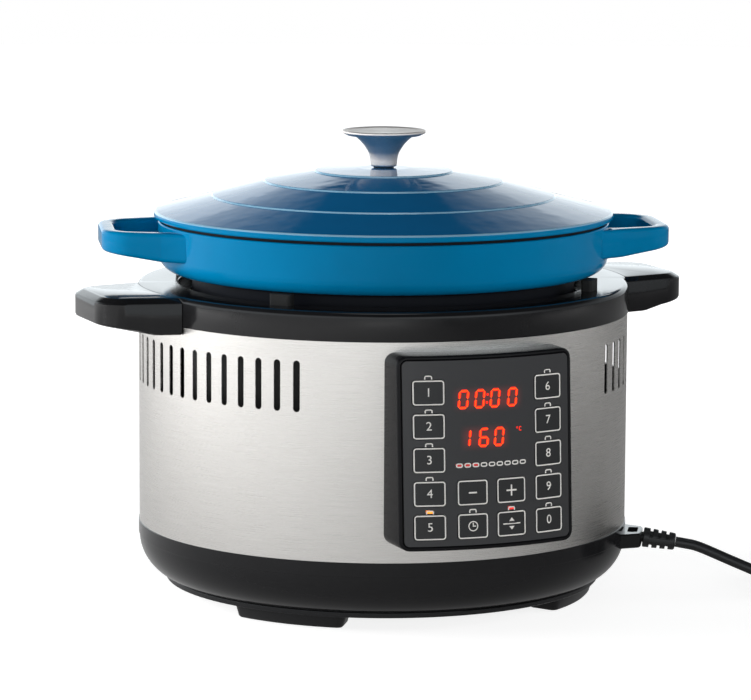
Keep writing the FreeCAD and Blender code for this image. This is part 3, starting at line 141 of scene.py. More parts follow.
def mesh_object(name, points, faces):
    mesh = bpy.data.meshes.new(name)
    mesh.from_pydata([tuple(p) for p in points], [], faces)
    mesh.update()
    return object_from(name, mesh)


floor_turns = [2 * math.pi * i / FLOOR_SIDES for i in range(FLOOR_SIDES)]
floor_points = [(FLOOR_RADIUS * math.cos(turn), FLOOR_RADIUS * math.sin(turn), 0) for turn in floor_turns]
floor = mesh_object("floor", floor_points, [list(range(FLOOR_SIDES))])
floor_finish, tree, paint = new_material("floor_sweep")
paint.inputs["Base Color"].default_value = FLOOR_COLOUR
paint.inputs["Roughness"].default_value = FLOOR_ROUGHNESS
paint.inputs["Emission Color"].default_value = (1, 1, 1, 1)
ray = node(tree, "ShaderNodeLightPath")
where = node(tree, "ShaderNodeTexCoord")
reach = node(tree, "ShaderNodeVectorMath", operation="LENGTH")
link(tree, where, "Object", reach, 0)
parts = node(tree, "ShaderNodeSeparateXYZ")
link(tree, where, "Object", parts, "Vector")
whiteness = graded(tree, reach, "Value", FLOOR_NEAR, FLOOR_FAR, FLOOR_LIFT, FLOOR_FAR_LIFT)
lit_side = graded(tree, parts, "X", FLOOR_NEAR, -FLOOR_FAR, FLOOR_DULL, FLOOR_SHEEN)
lift = maths(tree, "MULTIPLY", (ray, "Is Camera Ray"), whiteness)
link(tree, maths(tree, "MULTIPLY_ADD", (ray, "Is Glossy Ray"), lit_side, lift), 0, paint, "Emission Strength")
floor.data.materials.append(floor_finish)

scene.world = scene.world or bpy.data.worlds.new("studio")
scene.world.use_nodes = True
tree = scene.world.node_tree
sky = tree.nodes["Background"]
way = node(tree, "ShaderNodeTexCoord")
parts = node(tree, "ShaderNodeSeparateXYZ")
link(tree, way, "Generated", parts, "Vector")
wall = {name: graded(tree, parts, *values, soft=True) for name, values in WALLS.items()}
card_side = node(tree, "ShaderNodeVectorMath", operation="DOT_PRODUCT")
card_side.inputs[1].default_value = (math.cos(CARD_HEADING), -math.sin(CARD_HEADING), 0)
link(tree, way, "Generated", card_side, 0)
beside_card = graded(tree, maths(tree, "ABSOLUTE", (card_side, "Value")), 0, CARD_HALF, CARD_CLEAR, soft=True)
tall_wall = maths(tree, "MAXIMUM", wall["low"], maths(tree, "MULTIPLY", beside_card, wall["high"]))
around = maths(tree, "MULTIPLY", maths(tree, "MULTIPLY", wall["right_cloth"], wall["front"]), tall_wall)
mirrored = maths(tree, "MAXIMUM", around, wall["overhead"])
ray = node(tree, "ShaderNodeLightPath")
gloss = maths(tree, "MAXIMUM", (ray, "Is Glossy Ray"), (ray, "Is Transmission Ray"))
level = node(tree, "ShaderNodeMix")
level.inputs["A"].default_value = WORLD_LIGHT
link(tree, gloss, 0, level, "Factor")
link(tree, mirrored, 0, level, "B")
link(tree, maths(tree, "MAXIMUM", (ray, "Is Camera Ray"), (level, "Result")), 0, sky, "Strength")
shade = node(tree, "ShaderNodeMixRGB")
shade.inputs["Color1"].default_value = (1, 1, 1, 1)
shade.inputs["Color2"].default_value = WALL_COLOUR
link(tree, gloss, 0, shade, "Fac")
link(tree, shade, "Color", sky, "Color")

for name, (spot, size, power) in LAMPS.items():
    lamp = bpy.data.objects.new(name, bpy.data.lights.new(name, "AREA"))
    lamp.data.size = size
    lamp.data.energy = power
    lamp.visible_camera = False
    lamp.visible_glossy = False
    lamp.location = spot
    lamp.rotation_euler = (LAMP_AIM - Vector(spot)).to_track_quat("-Z", "Y").to_euler()
    scene.collection.objects.link(lamp)


# Mains cord: round black sheathed flex that drops from the housing's side to the table.
# What the picture leaves out is wound up for storage in two layers, beside the view.
CORD_DIAMETER = 6.5 * MM
CORD_ANGLE = math.radians(61.5)
CORD_EXIT_REACH = 182.9 * MM
CORD_EXIT_LEVEL = 33.14 * MM
CORD_LEVEL = 4.45 * MM
LEAD_POINTS = ((189.0, 32.2), (196.5, 31.0), (216.0, 22.8), (238.0, 14.0), (256.0, 6.8), (271.0, 4.45),
               (279.0, 4.45))
COIL_START_REACH = 286.0 * MM
COIL_RADIUS = 42.0 * MM
COIL_STEP = 7.0 * MM
COIL_LAYER_TURNS = 1.875
COIL_CLIMB_TURNS = 0.5
COIL_TAIL = 30.0 * MM
COIL_POINTS_PER_TURN = 24
cord_out = Vector((math.sin(CORD_ANGLE), -math.cos(CORD_ANGLE), 0))
cord_left = Vector((-cord_out.y, cord_out.x, 0))
coil_centre = axis + cord_out * COIL_START_REACH + cord_left * COIL_RADIUS
coil_turns = 2 * COIL_LAYER_TURNS + COIL_CLIMB_TURNS


def coil_point(turn, grow=1.0):
    """Point of the coil: inwards in the first layer, a short climb, and outwards in the second."""
    past = turn - COIL_LAYER_TURNS
    inner = COIL_RADIUS - COIL_STEP * COIL_LAYER_TURNS
    if past <= 0:
        radius, rise = COIL_RADIUS - COIL_STEP * turn, 0.0
    elif past >= COIL_CLIMB_TURNS:
        radius, rise = inner + COIL_STEP * (past - COIL_CLIMB_TURNS), 1.0
    else:
        part = past / COIL_CLIMB_TURNS
        radius = inner - COIL_STEP * COIL_CLIMB_TURNS * part * (1 - part)
        rise = part * part * (3 - 2 * part)
    angle = 2 * math.pi * turn
    across = cord_out * math.sin(angle) - cord_left * math.cos(angle)
    return coil_centre + across * radius * grow + Vector((0, 0, CORD_LEVEL + COIL_STEP * rise))


cord_exit = axis + cord_out * CORD_EXIT_REACH + Vector((0, 0, CORD_EXIT_LEVEL))
route = [cord_exit]
route += [axis + cord_out * reach * MM + Vector((0, 0, level * MM)) for reach, level in LEAD_POINTS]
coil_count = round(COIL_POINTS_PER_TURN * coil_turns)
outside = 1 / math.cos(math.pi / COIL_POINTS_PER_TURN)
route += [coil_point(coil_turns * (i + 0.5) / coil_count, outside) for i in range(coil_count)]
tail_way = (coil_point(coil_turns) - coil_point(coil_turns - 0.001)).normalized()
route += [coil_point(coil_turns) + tail_way * share * COIL_TAIL for share in (0.0, 0.5, 1.0)]
cord_curve = bpy.data.curves.new("mains_cord", "CURVE")
cord_curve.dimensions = "3D"
cord_curve.bevel_depth = CORD_DIAMETER / 2
cord_curve.bevel_resolution = 5
cord_curve.use_fill_caps = True
line = cord_curve.splines.new("NURBS")
line.points.add(len(route) - 1)
for spot, point in zip(route, line.points):
    point.co = (*spot, 1)
line.order_u = 3
line.use_endpoint_u = True
line.resolution_u = 6
cord = object_from("mains_cord", cord_curve)


# A moulded surface is never quite even: this gives a colour, a roughness and a height
# that wander a little over the surface. Each finish but the brushed steel uses it with its own values.
def make_mottle():
    group = bpy.data.node_groups.new("mottle", "ShaderNodeTree")
    number = "NodeSocketFloat"
    for name, kind, value in (("Color", "NodeSocketColor", (0.5, 0.5, 0.5, 1)), ("Scale", number, 50.0),
                              ("Detail", number, 3.0), ("Amount", number, 0.1), ("Roughness", number, 0.4),
                              ("Spread", number, 0.1)):
        group.interface.new_socket(name, in_out="INPUT", socket_type=kind).default_value = value
    for name, kind in (("Color", "NodeSocketColor"), ("Roughness", number), ("Height", number)):
        group.interface.new_socket(name, in_out="OUTPUT", socket_type=kind)
    given = node(group, "NodeGroupInput")
    result = node(group, "NodeGroupOutput")
    where = node(group, "ShaderNodeTexCoord")
    cloud = node(group, "ShaderNodeTexNoise")
    link(group, where, "Object", cloud, "Vector")
    link(group, given, "Scale", cloud, "Scale")
    link(group, given, "Detail", cloud, "Detail")
    centred = maths(group, "SUBTRACT", (cloud, "Fac"), 0.5)
    tint = node(group, "ShaderNodeVectorMath", operation="SCALE")
    link(group, given, "Color", tint, 0)
    link(group, maths(group, "MULTIPLY_ADD", centred, (given, "Amount"), 1.0), 0, tint, "Scale")
    link(group, tint, "Vector", result, "Color")
    rough = maths(group, "MULTIPLY_ADD", centred, (given, "Spread"), (given, "Roughness"))
    link(group, rough, 0, result, "Roughness")
    link(group, cloud, "Fac", result, "Height")
    return group


mottle = make_mottle()


def relief(tree, source, socket, strength, depth, shader):
    """Fine relief on a shader from a node's output."""
    made = node(tree, "ShaderNodeBump")
    made.inputs["Strength"].default_value = strength
    made.inputs["Distance"].default_value = depth
    link(tree, source, socket, made, "Height")
    link(tree, made, "Normal", shader, "Normal")


def finish(name, colour, roughness, scale=900.0, amount=0.12, spread=0.12, bump=0.02, detail=3.0, **sockets):
    """A material whose colour, gloss and relief wander; sockets sets the rest of the shader."""
    made, tree, shader = new_material(name)
    wander = node(tree, "ShaderNodeGroup", node_tree=mottle)
    for socket, value in (("Color", (*colour, 1)), ("Scale", scale), ("Detail", detail), ("Amount", amount),
                          ("Roughness", roughness), ("Spread", spread)):
        wander.inputs[socket].default_value = value
    link(tree, wander, "Color", shader, "Base Color")
    link(tree, wander, "Roughness", shader, "Roughness")
    relief(tree, wander, "Height", bump, MM, shader)
    for socket, value in sockets.items():
        shader.inputs[socket.replace("_", " ").title().replace("Ior", "IOR")].default_value = value
    return made


def dress(names, finish_of):
    """Gives CAD nodes a finish."""
    for name in names:
        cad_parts[name].material_slots[0].material = finish_of


cord_black = finish("cord_sheath", (0.012, 0.012, 0.013), 0.42, scale=700, amount=0.3, bump=0.04)
cord_curve.materials.append(cord_black)
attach(cord, "housing")
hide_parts("cord_lead", "cord_coil")
plug_black = finish("plug_moulding", (0.016, 0.016, 0.017), 0.5, scale=1500, amount=0.25, bump=0.12)
pin_brass = finish("plated_pins", (0.72, 0.66, 0.5), 0.28, scale=300, amount=0.12, metallic=1.0)
dress(["plug_body"], plug_black)
dress(["plug_pins"], pin_brass)


# Cord tie: a woven hook-and-loop strap round the stored coil, closed on its outer side.
# It lies flat under the coil, so the cord rests on it.
TIE_ANGLE = math.radians(250)
TIE_THICKNESS, TIE_WIDTH, TIE_EDGE, TIE_CORNER = 0.8 * MM, 8.0 * MM, 0.25 * MM, 2.4 * MM
TIE_INNER, TIE_OUTER = 26.0 * MM, 42.3 * MM
tie_low, tie_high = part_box("coil_tie")
tie_across = cord_out * math.sin(TIE_ANGLE) - cord_left * math.cos(TIE_ANGLE)
tie_along = Vector((-tie_across.y, tie_across.x, 0))


def rounded_outline(points, steps=6):
    """Closed outline from (u, v) points; a third number rounds that corner."""
    result = []
    count = len(points)
    for i, point in enumerate(points):
        here = Vector(point[:2])
        if len(point) < 3 or point[2] <= 0:
            result.append(here)
            continue
        back = (Vector(points[i - 1][:2]) - here).normalized()
        ahead = (Vector(points[(i + 1) % count][:2]) - here).normalized()
        half = back.angle(ahead) / 2
        centre = here + (back + ahead).normalized() * (point[2] / math.sin(half))
        first = here + back * (point[2] / math.tan(half)) - centre
        last = here + ahead * (point[2] / math.tan(half)) - centre
        sweep = first.angle_signed(last)
        for k in range(steps + 1):
            turn = -sweep * k / steps
            result.append(centre + Vector((first.x * math.cos(turn) - first.y * math.sin(turn),
                                           first.x * math.sin(turn) + first.y * math.cos(turn))))
    return result


def rounded_box(left, low, right, high, corner, steps):
    """Closed outline of a rectangle with its four corners rounded."""
    spots = ((left, low), (right, low), (right, high), (left, high))
    return rounded_outline([(*spot, corner) for spot in spots], steps)


def smooth(piece, angle=35.0):
    """Smooth shading with sharp edges kept where the surface turns by more than the angle."""
    piece.data.polygons.foreach_set("use_smooth", [True] * len(piece.data.polygons))
    piece.data.set_sharp_from_angle(angle=math.radians(angle))
    return piece


def loft(name, loops, closed=False):
    """Skin through loops of points that all have the same count, closed on itself or by two caps."""
    count = len(loops[0])
    points = [p for loop in loops for p in loop]
    rows = len(loops)
    faces = []
    for row in range(rows if closed else rows - 1):
        below, above = row * count, (row + 1) % rows * count
        for i in range(count):
            j = (i + 1) % count
            faces.append((below + i, below + j, above + j, above + i))
    if not closed:
        faces += [tuple(range(count)), tuple(range((rows - 1) * count, rows * count))]
    piece = mesh_object(name, points, faces)
    outwards(piece)
    return piece


def outwards(piece, merge=0.0):
    """Merges doubles and turns every face outwards."""
    work = bmesh.new()
    work.from_mesh(piece.data)
    if merge:
        bmesh.ops.remove_doubles(work, verts=work.verts, dist=merge)
    bmesh.ops.recalc_face_normals(work, faces=work.faces)
    work.to_mesh(piece.data)
    work.free()


def tie_loop(grow, shift):
    """Section of the strap, drawn out by grow and shifted along its width."""
    outline = rounded_box(TIE_INNER - grow, tie_low.z + TIE_THICKNESS - grow, TIE_OUTER + grow,
                          tie_high.z - TIE_THICKNESS + grow, TIE_CORNER, 5)
    return [coil_centre + tie_across * p.x + Vector((0, 0, p.y)) + tie_along * shift for p in outline]


half = TIE_WIDTH / 2
strap_section = [(0, half - TIE_EDGE), (TIE_EDGE, half), (TIE_THICKNESS - TIE_EDGE, half),
                 (TIE_THICKNESS, half - TIE_EDGE)]
strap_section = [(grow, -shift) for grow, shift in strap_section] + strap_section[::-1]
tie = smooth(loft("cord_tie", [tie_loop(grow, shift) for grow, shift in strap_section], closed=True))
tie_finish = finish("woven_strap", (0.02, 0.02, 0.022), 0.85, scale=2600, amount=0.7, bump=0.3)
tie.data.materials.append(tie_finish)
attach(tie, "housing")
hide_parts("coil_tie")


# Strain relief: a soft black sleeve moulded on the cord, ribbed so that it bends.
# Two webs run along it between the ribs, and its neck is held in the base's cord box.
BOOT_START_REACH = 162.9 * MM
BOOT_LEVEL = 35.6 * MM
BOOT_TILT = math.radians(7)
BOOT_LENGTH = 20.0
BOOT_RADIUS, BOOT_TIP_RADIUS = 6.2, 5.2
BOOT_GROOVES = 3
BOOT_GROOVE, BOOT_GROOVE_DEPTH, BOOT_GROOVE_ROUND = 1.8, 1.7, 0.3
BOOT_NECK_RADIUS, BOOT_NECK, BOOT_NECK_SUNK = 3.2, 6.0, 2.0
BOOT_START_ROUND, BOOT_TIP_ROUND = 0.8, 1.2
WEB_OFF, WEB_HALF, WEB_HALF_WIDTH, WEB_START, WEB_END, WEB_ROUND = 5.0, 0.9, 1.6, 1.5, 17.5, 0.4
HOLD = 0.5


def held(outline):
    """Outline with a point near both ends of each long run, so that a rounded corner shades only itself."""
    result = []
    for here, following in zip(outline, outline[1:] + outline[:1]):
        result.append(here)
        run = following - here
        if run.length > 4 * HOLD:
            result += [here + run.normalized() * HOLD, following - run.normalized() * HOLD]
    return result


def turned(name, outline, steps=160, corner_steps=6, angle=35.0):
    """Turned piece about Z from a closed outline of (radius, height) in millimetres."""
    profile = held(rounded_outline(outline, corner_steps))
    points, rows = [], []
    for p in profile:
        if abs(p.x) < 1e-6:
            rows.append([len(points)] * steps)
            points.append((0, 0, p.y * MM))
            continue
        rows.append(list(range(len(points), len(points) + steps)))
        for k in range(steps):
            turn = 2 * math.pi * k / steps
            points.append((p.x * MM * math.cos(turn), p.x * MM * math.sin(turn), p.y * MM))
    faces = []
    for row, following in zip(rows, rows[1:] + rows[:1]):
        if row[0] == row[1] and following[0] == following[1]:
            continue
        for k in range(steps):
            j = (k + 1) % steps
            corners = [row[k], row[j], following[j], following[k]]
            faces.append([c for i, c in enumerate(corners) if c != corners[i - 1]])
    piece = mesh_object(name, points, faces)
    outwards(piece)
    return smooth(piece, angle)


def place(piece, matrix):
    """Puts a piece in its place by its mesh."""
    piece.data.transform(matrix)
    return piece


def joined(name, pieces):
    """One mesh from several closed ones."""
    work = bmesh.new()
    for piece in pieces:
        work.from_mesh(piece.data)
        bpy.data.objects.remove(piece)
    mesh = bpy.data.meshes.new(name)
    work.to_mesh(mesh)
    work.free()
    return object_from(name, mesh)


def united(name, first, others, operation="UNION"):
    """Boolean of closed meshes, kept as a plain mesh."""
    for other in others:
        change = first.modifiers.new("cut", "BOOLEAN")
        change.operation = operation
        change.solver = "EXACT"
        change.object = other
    bpy.context.view_layer.update()
    mesh = bpy.data.meshes.new_from_object(first.evaluated_get(bpy.context.evaluated_depsgraph_get()))
    mesh.name = name
    for piece in [first] + list(others):
        bpy.data.objects.remove(piece)
    return object_from(name, mesh)


def block(name, low, high, round_radius):
    """Box with rounded upright edges, in metres."""
    outline = rounded_box(*low[:2], *high[:2], round_radius, 4)
    return loft(name, [[(p.x, p.y, low[2]) for p in outline], [(p.x, p.y, high[2]) for p in outline]])


boot_profile = [(0, 0), (BOOT_RADIUS, 0, BOOT_START_ROUND)]
boot_pitch = BOOT_LENGTH / (BOOT_GROOVES + 1)
for i in range(BOOT_GROOVES):
    low = boot_pitch * (i + 1) - BOOT_GROOVE / 2
    radius = BOOT_RADIUS - (BOOT_RADIUS - BOOT_TIP_RADIUS) * low / BOOT_LENGTH
    bottom, high = radius - BOOT_GROOVE_DEPTH, low + BOOT_GROOVE
    groove = ((radius, low), (bottom, low), (bottom, high), (radius, high))
    boot_profile += [(*corner, BOOT_GROOVE_ROUND) for corner in groove]
boot_profile += [(BOOT_TIP_RADIUS, BOOT_LENGTH, BOOT_TIP_ROUND), (0, BOOT_LENGTH)]
sleeve = turned("sleeve", boot_profile, steps=48, corner_steps=3)
webs = []
for off in (-WEB_OFF, WEB_OFF):
    web_low = Vector((-WEB_HALF_WIDTH, off - WEB_HALF, WEB_START)) * MM
    web_high = Vector((WEB_HALF_WIDTH, off + WEB_HALF, WEB_END)) * MM
    webs.append(block("web", web_low, web_high, WEB_ROUND * MM))
boot = joined("strain_relief", [sleeve] + webs)
boot_way = cord_out * math.cos(BOOT_TILT) - Vector((0, 0, math.sin(BOOT_TILT)))
boot_start = axis + cord_out * BOOT_START_REACH + Vector((0, 0, BOOT_LEVEL))
place(boot, Matrix.Translation(boot_start) @ boot_way.to_track_quat("Z", "X").to_matrix().to_4x4())
neck_end = BOOT_NECK + BOOT_NECK_SUNK
neck_profile = [(0, 0), (BOOT_NECK_RADIUS, 0), (BOOT_NECK_RADIUS, neck_end), (0, neck_end)]
neck = turned("neck", neck_profile, steps=32)
place(neck, Matrix.Translation(boot_start - cord_out * BOOT_NECK * MM)
      @ cord_out.to_track_quat("Z", "X").to_matrix().to_4x4())
boot = smooth(joined("strain_relief", [boot, neck]))
boot.data.materials.append(cord_black)
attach(boot, "housing")
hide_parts("cord_boot")


# Feet: four moulded plinths that follow the rim of the bottom plate, each with a rubber pad let in.
# They are dull black, and a little narrower below so that they leave the mould.
FOOT_INNER, FOOT_OUTER, FOOT_DRAFT = 108.0, 132.0, 2.0
FOOT_ANGLE, FOOT_HALF_SPREAD = 48.0, 17.0
FOOT_LOW, FOOT_HIGH = 0.8, 8.4
FOOT_CORNER, FOOT_EDGE, FOOT_TOP_INSET, FOOT_STRIP = 6.0, 1.0, 0.2, 6.0


def foot_loop(inset, level):
    """Kidney outline about the axis, drawn unrolled and then wrapped."""
    middle = (FOOT_INNER + FOOT_OUTER) / 2
    half_length = math.radians(FOOT_HALF_SPREAD) * middle - inset
    half_width = (FOOT_OUTER - FOOT_INNER) / 2 - inset
    flat = rounded_box(-half_length, -half_width, half_length, half_width, FOOT_CORNER - inset, 5)
    fine = []
    for here, following in zip(flat, flat[1:] + flat[:1]):
        parts = max(1, round((following - here).length / FOOT_STRIP))
        fine += [here.lerp(following, k / parts) for k in range(parts)]
    around = [(p.x / middle, middle + p.y) for p in fine]
    return [(math.sin(turn) * reach * MM, -math.cos(turn) * reach * MM, level * MM) for turn, reach in around]


plastic_black = finish("moulded_black", (0.010, 0.010, 0.011), 0.33, scale=1800, amount=0.25, spread=0.1,
                       bump=0.05, specular_ior_level=0.26)
rubber_black = finish("rubber_black", (0.012, 0.012, 0.012), 0.75, scale=1200, amount=0.3, bump=0.15)
for name, angle in (("front_right_foot", FOOT_ANGLE), ("front_left_foot", -FOOT_ANGLE),
                    ("rear_right_foot", 180 - FOOT_ANGLE), ("rear_left_foot", FOOT_ANGLE - 180)):
    outline = [foot_loop(FOOT_DRAFT + FOOT_EDGE, FOOT_LOW), foot_loop(FOOT_DRAFT, FOOT_LOW + FOOT_EDGE),
               foot_loop(FOOT_TOP_INSET, FOOT_HIGH)]
    foot = smooth(loft(name + "_plinth", outline))
    place(foot, on_axis @ Matrix.Rotation(math.radians(angle), 4, "Z"))
    foot.data.materials.append(plastic_black)
    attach(foot, "housing")
    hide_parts(name)
dress(["foot_pads"], rubber_black)


# Base: a deep moulded bowl in polished black plastic that closes the housing from below.
# Its straight upper band stands a hair proud, and a small box on its side takes the cord.
BASE_PROFILE = [(136.0, 12.4), (151.0, 19.8, 26.0), (151.0, 36.4), (151.5, 36.4, 0.3), (151.5, 45.0, 0.4),
                (149.9, 45.0), (149.9, 51.0), (147.4, 51.0), (147.4, 22.6, 22.0), (134.0, 15.2),
                (126.0, 15.2), (126.0, 12.4)]
BOX_ROOT_HALF, BOX_TIP_HALF, BOX_ROOT, BOX_TIP, BOX_CORNER = 19.0, 12.0, 149.0, 162.0, 2.5
BOX_LOW, BOX_HIGH, BOX_EDGE, BOX_DRAFT = 31.0, 40.0, 0.8, 0.96
POCKET_HALF, POCKET_INNER, POCKET_OUTER, POCKET_ROUND = 8.0, 153.4, 159.6, 1.5
POCKET_LOW, POCKET_CLEAR = 32.2, 50.0
base = place(turned("base_bowl", BASE_PROFILE, steps=240, corner_steps=24), on_axis)
box_plan = rounded_outline([(-BOX_ROOT_HALF, -BOX_ROOT), (-BOX_TIP_HALF, -BOX_TIP, BOX_CORNER),
                            (BOX_TIP_HALF, -BOX_TIP, BOX_CORNER), (BOX_ROOT_HALF, -BOX_ROOT)], 5)
box_levels = ((BOX_DRAFT, BOX_EDGE, BOX_LOW), (1, 0, BOX_LOW + BOX_EDGE), (1, 0, BOX_HIGH - BOX_EDGE),
              (BOX_DRAFT, BOX_EDGE, BOX_HIGH))
cord_box = loft("cord_box", [[Vector((p.x * shrink, p.y + drawn_in, level)) * MM for p in box_plan]
                             for shrink, drawn_in, level in box_levels])
pocket = block("pocket", Vector((-POCKET_HALF, -POCKET_OUTER, POCKET_LOW)) * MM,
               Vector((POCKET_HALF, -POCKET_INNER, POCKET_CLEAR)) * MM, POCKET_ROUND * MM)
cord_box = united("cord_box", cord_box, [pocket], "DIFFERENCE")
place(cord_box, on_axis @ Matrix.Rotation(CORD_ANGLE, 4, "Z"))
base = smooth(joined("base_bowl", [base, cord_box]), 30)
base_black = finish("polished_black", (0.009, 0.009, 0.010), 0.16, scale=240, amount=0.2, spread=0.08,
                    bump=0.012, specular_ior_level=0.26)
base.data.materials.append(base_black)
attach(base, "housing")
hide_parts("base")
screw_steel = finish("zinc_screws", (0.55, 0.55, 0.54), 0.35, scale=600, amount=0.2, metallic=1.0)
dress(["base_plate"], plastic_black)
dress(["base_screws", "board_screws", "panel_screws", "ring_screws", "heater_posts", "sensor_spring"],
      screw_steel)


# Steel band: thin sheet rolled into a tube and brushed around, with upright vent slots in each flank.
# The slots are punched by instancing one round-ended cutter along each flank.
BAND_RADIUS, BAND_WALL = 151.0, 0.8
SLOTS, SLOT_FIRST, SLOT_PITCH = 20, 41.2, 4.7
SLOT_WIDTH, SLOT_LENGTH, SLOT_TOP, SLOT_CLEAR, SLOT_ROUND = 4.2, 30.5, 163.5, 4.0, 0.999
BRUSH_LINES, BRUSH_SPREAD, BRUSH_RELIEF, BRUSH_DEPTH = 900.0, 0.06, 0.03, 0.2 * MM
BRUSH_TONE, BRUSH_SCALE, BRUSH_DETAIL = (0.3, 0.7, 0.93, 1.06), 5.0, 6.0
WALL_FACING = 0.97
band_low, band_high = (corner.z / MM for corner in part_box("outer_shell"))
band_inner = BAND_RADIUS - BAND_WALL
band = turned("steel_band", [(BAND_RADIUS, band_low), (BAND_RADIUS, band_high), (band_inner, band_high),
                             (band_inner, band_low)], steps=300)
slot_half, slot_half_length = SLOT_WIDTH / 2 * MM, SLOT_LENGTH / 2 * MM
cutter_outline = rounded_box(-slot_half, -slot_half_length, slot_half, slot_half_length,
                             slot_half * SLOT_ROUND, 8)
cutter = loft("slot_cutter", [[(p.x, -(BAND_RADIUS + reach) * MM, (SLOT_TOP - SLOT_LENGTH / 2) * MM + p.y)
                               for p in cutter_outline] for reach in (SLOT_CLEAR, -SLOT_CLEAR)])


def slot_tree():
    """Copies of a cutter, turned about the axis on both flanks, taken out of the band."""
    tree = bpy.data.node_groups.new("punched_slots", "GeometryNodeTree")
    for name, kind in (("Geometry", "Geometry"), ("Slots", "Int"), ("First Angle", "Float"),
                       ("Pitch", "Float"), ("Cutter", "Object"), ("Finish", "Material")):
        tree.interface.new_socket(name, in_out="INPUT", socket_type="NodeSocket" + kind)
    tree.interface.new_socket("Geometry", in_out="OUTPUT", socket_type="NodeSocketGeometry")
    given = node(tree, "NodeGroupInput")
    result = node(tree, "NodeGroupOutput")
    shape = node(tree, "GeometryNodeObjectInfo")
    link(tree, given, "Cutter", shape, "Object")
    flanks = node(tree, "GeometryNodeJoinGeometry")
    for side in (-1, 1):
        spots = node(tree, "GeometryNodePoints")
        link(tree, given, "Slots", spots, "Count")
        count = node(tree, "GeometryNodeInputIndex")
        step = maths(tree, "MULTIPLY_ADD", (count, "Index"), (given, "Pitch"), (given, "First Angle"))
        turn = node(tree, "ShaderNodeCombineXYZ")
        link(tree, maths(tree, "MULTIPLY", step, side), 0, turn, "Z")
        copies = node(tree, "GeometryNodeInstanceOnPoints")
        link(tree, spots, 0, copies, "Points")
        link(tree, shape, "Geometry", copies, "Instance")
        link(tree, turn, "Vector", copies, "Rotation")
        link(tree, copies, "Instances", flanks, "Geometry")
    solid = node(tree, "GeometryNodeRealizeInstances")
    link(tree, flanks, "Geometry", solid, "Geometry")
    cut = node(tree, "GeometryNodeMeshBoolean", operation="DIFFERENCE", solver="EXACT")
    link(tree, given, "Geometry", cut, "Mesh 1")
    link(tree, solid, "Geometry", cut, "Mesh 2")
    whole = node(tree, "GeometryNodeRealizeInstances")
    link(tree, cut, "Mesh", whole, "Geometry")
    coat = node(tree, "GeometryNodeSetMaterial")
    link(tree, whole, "Geometry", coat, "Geometry")
    link(tree, given, "Finish", coat, "Material")
    link(tree, coat, "Geometry", result, "Geometry")
    return tree


def run_tree(piece, tree, **inputs):
    """Runs a tree on a piece and leaves a plain mesh."""
    change = piece.modifiers.new("nodes", "NODES")
    change.node_group = tree
    sockets = {item.name: item.identifier for item in tree.interface.items_tree if item.in_out == "INPUT"}
    for name, value in inputs.items():
        change[sockets[name.replace("_", " ")]] = value
    bpy.context.view_layer.update()
    mesh = bpy.data.meshes.new_from_object(piece.evaluated_get(bpy.context.evaluated_depsgraph_get()))
    piece.modifiers.clear()
    piece.data = mesh
    return piece


def radial_normals(piece):
    """Shades a tube's walls about Z as true cylinders, whatever way their faces were cut."""
    mesh = piece.data
    normals = [None] * len(mesh.loops)
    for face in mesh.polygons:
        for k in face.loop_indices:
            spoke = mesh.vertices[mesh.loops[k].vertex_index].co.copy()
            spoke.z = 0
            spoke.normalize()
            facing = face.normal.dot(spoke)
            normals[k] = spoke * math.copysign(1, facing) if abs(facing) > WALL_FACING else face.normal
    mesh.normals_split_custom_set(normals)


def brushed_steel(name, colour, roughness, streak=0.75):
    """Steel with fine lines that run around the axis."""
    made, tree, shader = new_material(name)
    shader.inputs["Metallic"].default_value = 1.0
    shader.inputs["Anisotropic"].default_value = streak
    where = node(tree, "ShaderNodeTexCoord")
    centred = node(tree, "ShaderNodeMapping")
    centred.inputs["Location"].default_value = (-axis.x, -axis.y, 0)
    link(tree, where, "Object", centred, "Vector")
    parts = node(tree, "ShaderNodeSeparateXYZ")
    link(tree, centred, "Vector", parts, "Vector")
    strip = node(tree, "ShaderNodeCombineXYZ")
    link(tree, maths(tree, "ARCTAN2", (parts, "Y"), (parts, "X")), 0, strip, "X")
    link(tree, maths(tree, "MULTIPLY", (parts, "Z"), BRUSH_LINES), 0, strip, "Y")
    lines = node(tree, "ShaderNodeTexNoise")
    lines.inputs["Scale"].default_value = BRUSH_SCALE
    lines.inputs["Detail"].default_value = BRUSH_DETAIL
    link(tree, strip, "Vector", lines, "Vector")
    tint = node(tree, "ShaderNodeVectorMath", operation="SCALE")
    tint.inputs[0].default_value = colour
    link(tree, graded(tree, lines, "Fac", *BRUSH_TONE), 0, tint, "Scale")
    link(tree, tint, "Vector", shader, "Base Color")
    gloss = graded(tree, lines, "Fac", 0.0, 1.0, roughness - BRUSH_SPREAD, roughness + BRUSH_SPREAD)
    link(tree, gloss, 0, shader, "Roughness")
    relief(tree, lines, "Fac", BRUSH_RELIEF, BRUSH_DEPTH, shader)
    around = node(tree, "ShaderNodeTangent", direction_type="RADIAL", axis="Z")
    link(tree, around, "Tangent", shader, "Tangent")
    return made


band_steel = brushed_steel("brushed_band", (0.735, 0.715, 0.69), 0.28)
run_tree(band, slot_tree(), Slots=SLOTS, First_Angle=math.radians(SLOT_FIRST), Pitch=math.radians(SLOT_PITCH),
         Cutter=cutter, Finish=band_steel)
bpy.data.objects.remove(cutter)
radial_normals(band)
# Near-black painted shade for the inside of the housing, seen through the slots.
housing_painted_shade = finish("painted_inner_shade", (0.030, 0.029, 0.028), 0.6, scale=90, amount=0.4, spread=0.2, bump=0.03)


def line_inside(piece, facing):
    """Gives the near-black painted shade to walls that face away from the axis, or towards it, as facing is 1
    or -1.
    """
    piece.data.materials.append(housing_painted_shade)
    for face in piece.data.polygons:
        spoke = Vector((face.center.x, face.center.y, 0)).normalized()
        if face.normal.dot(spoke) * facing > 0.5:
            face.material_index = len(piece.data.materials) - 1
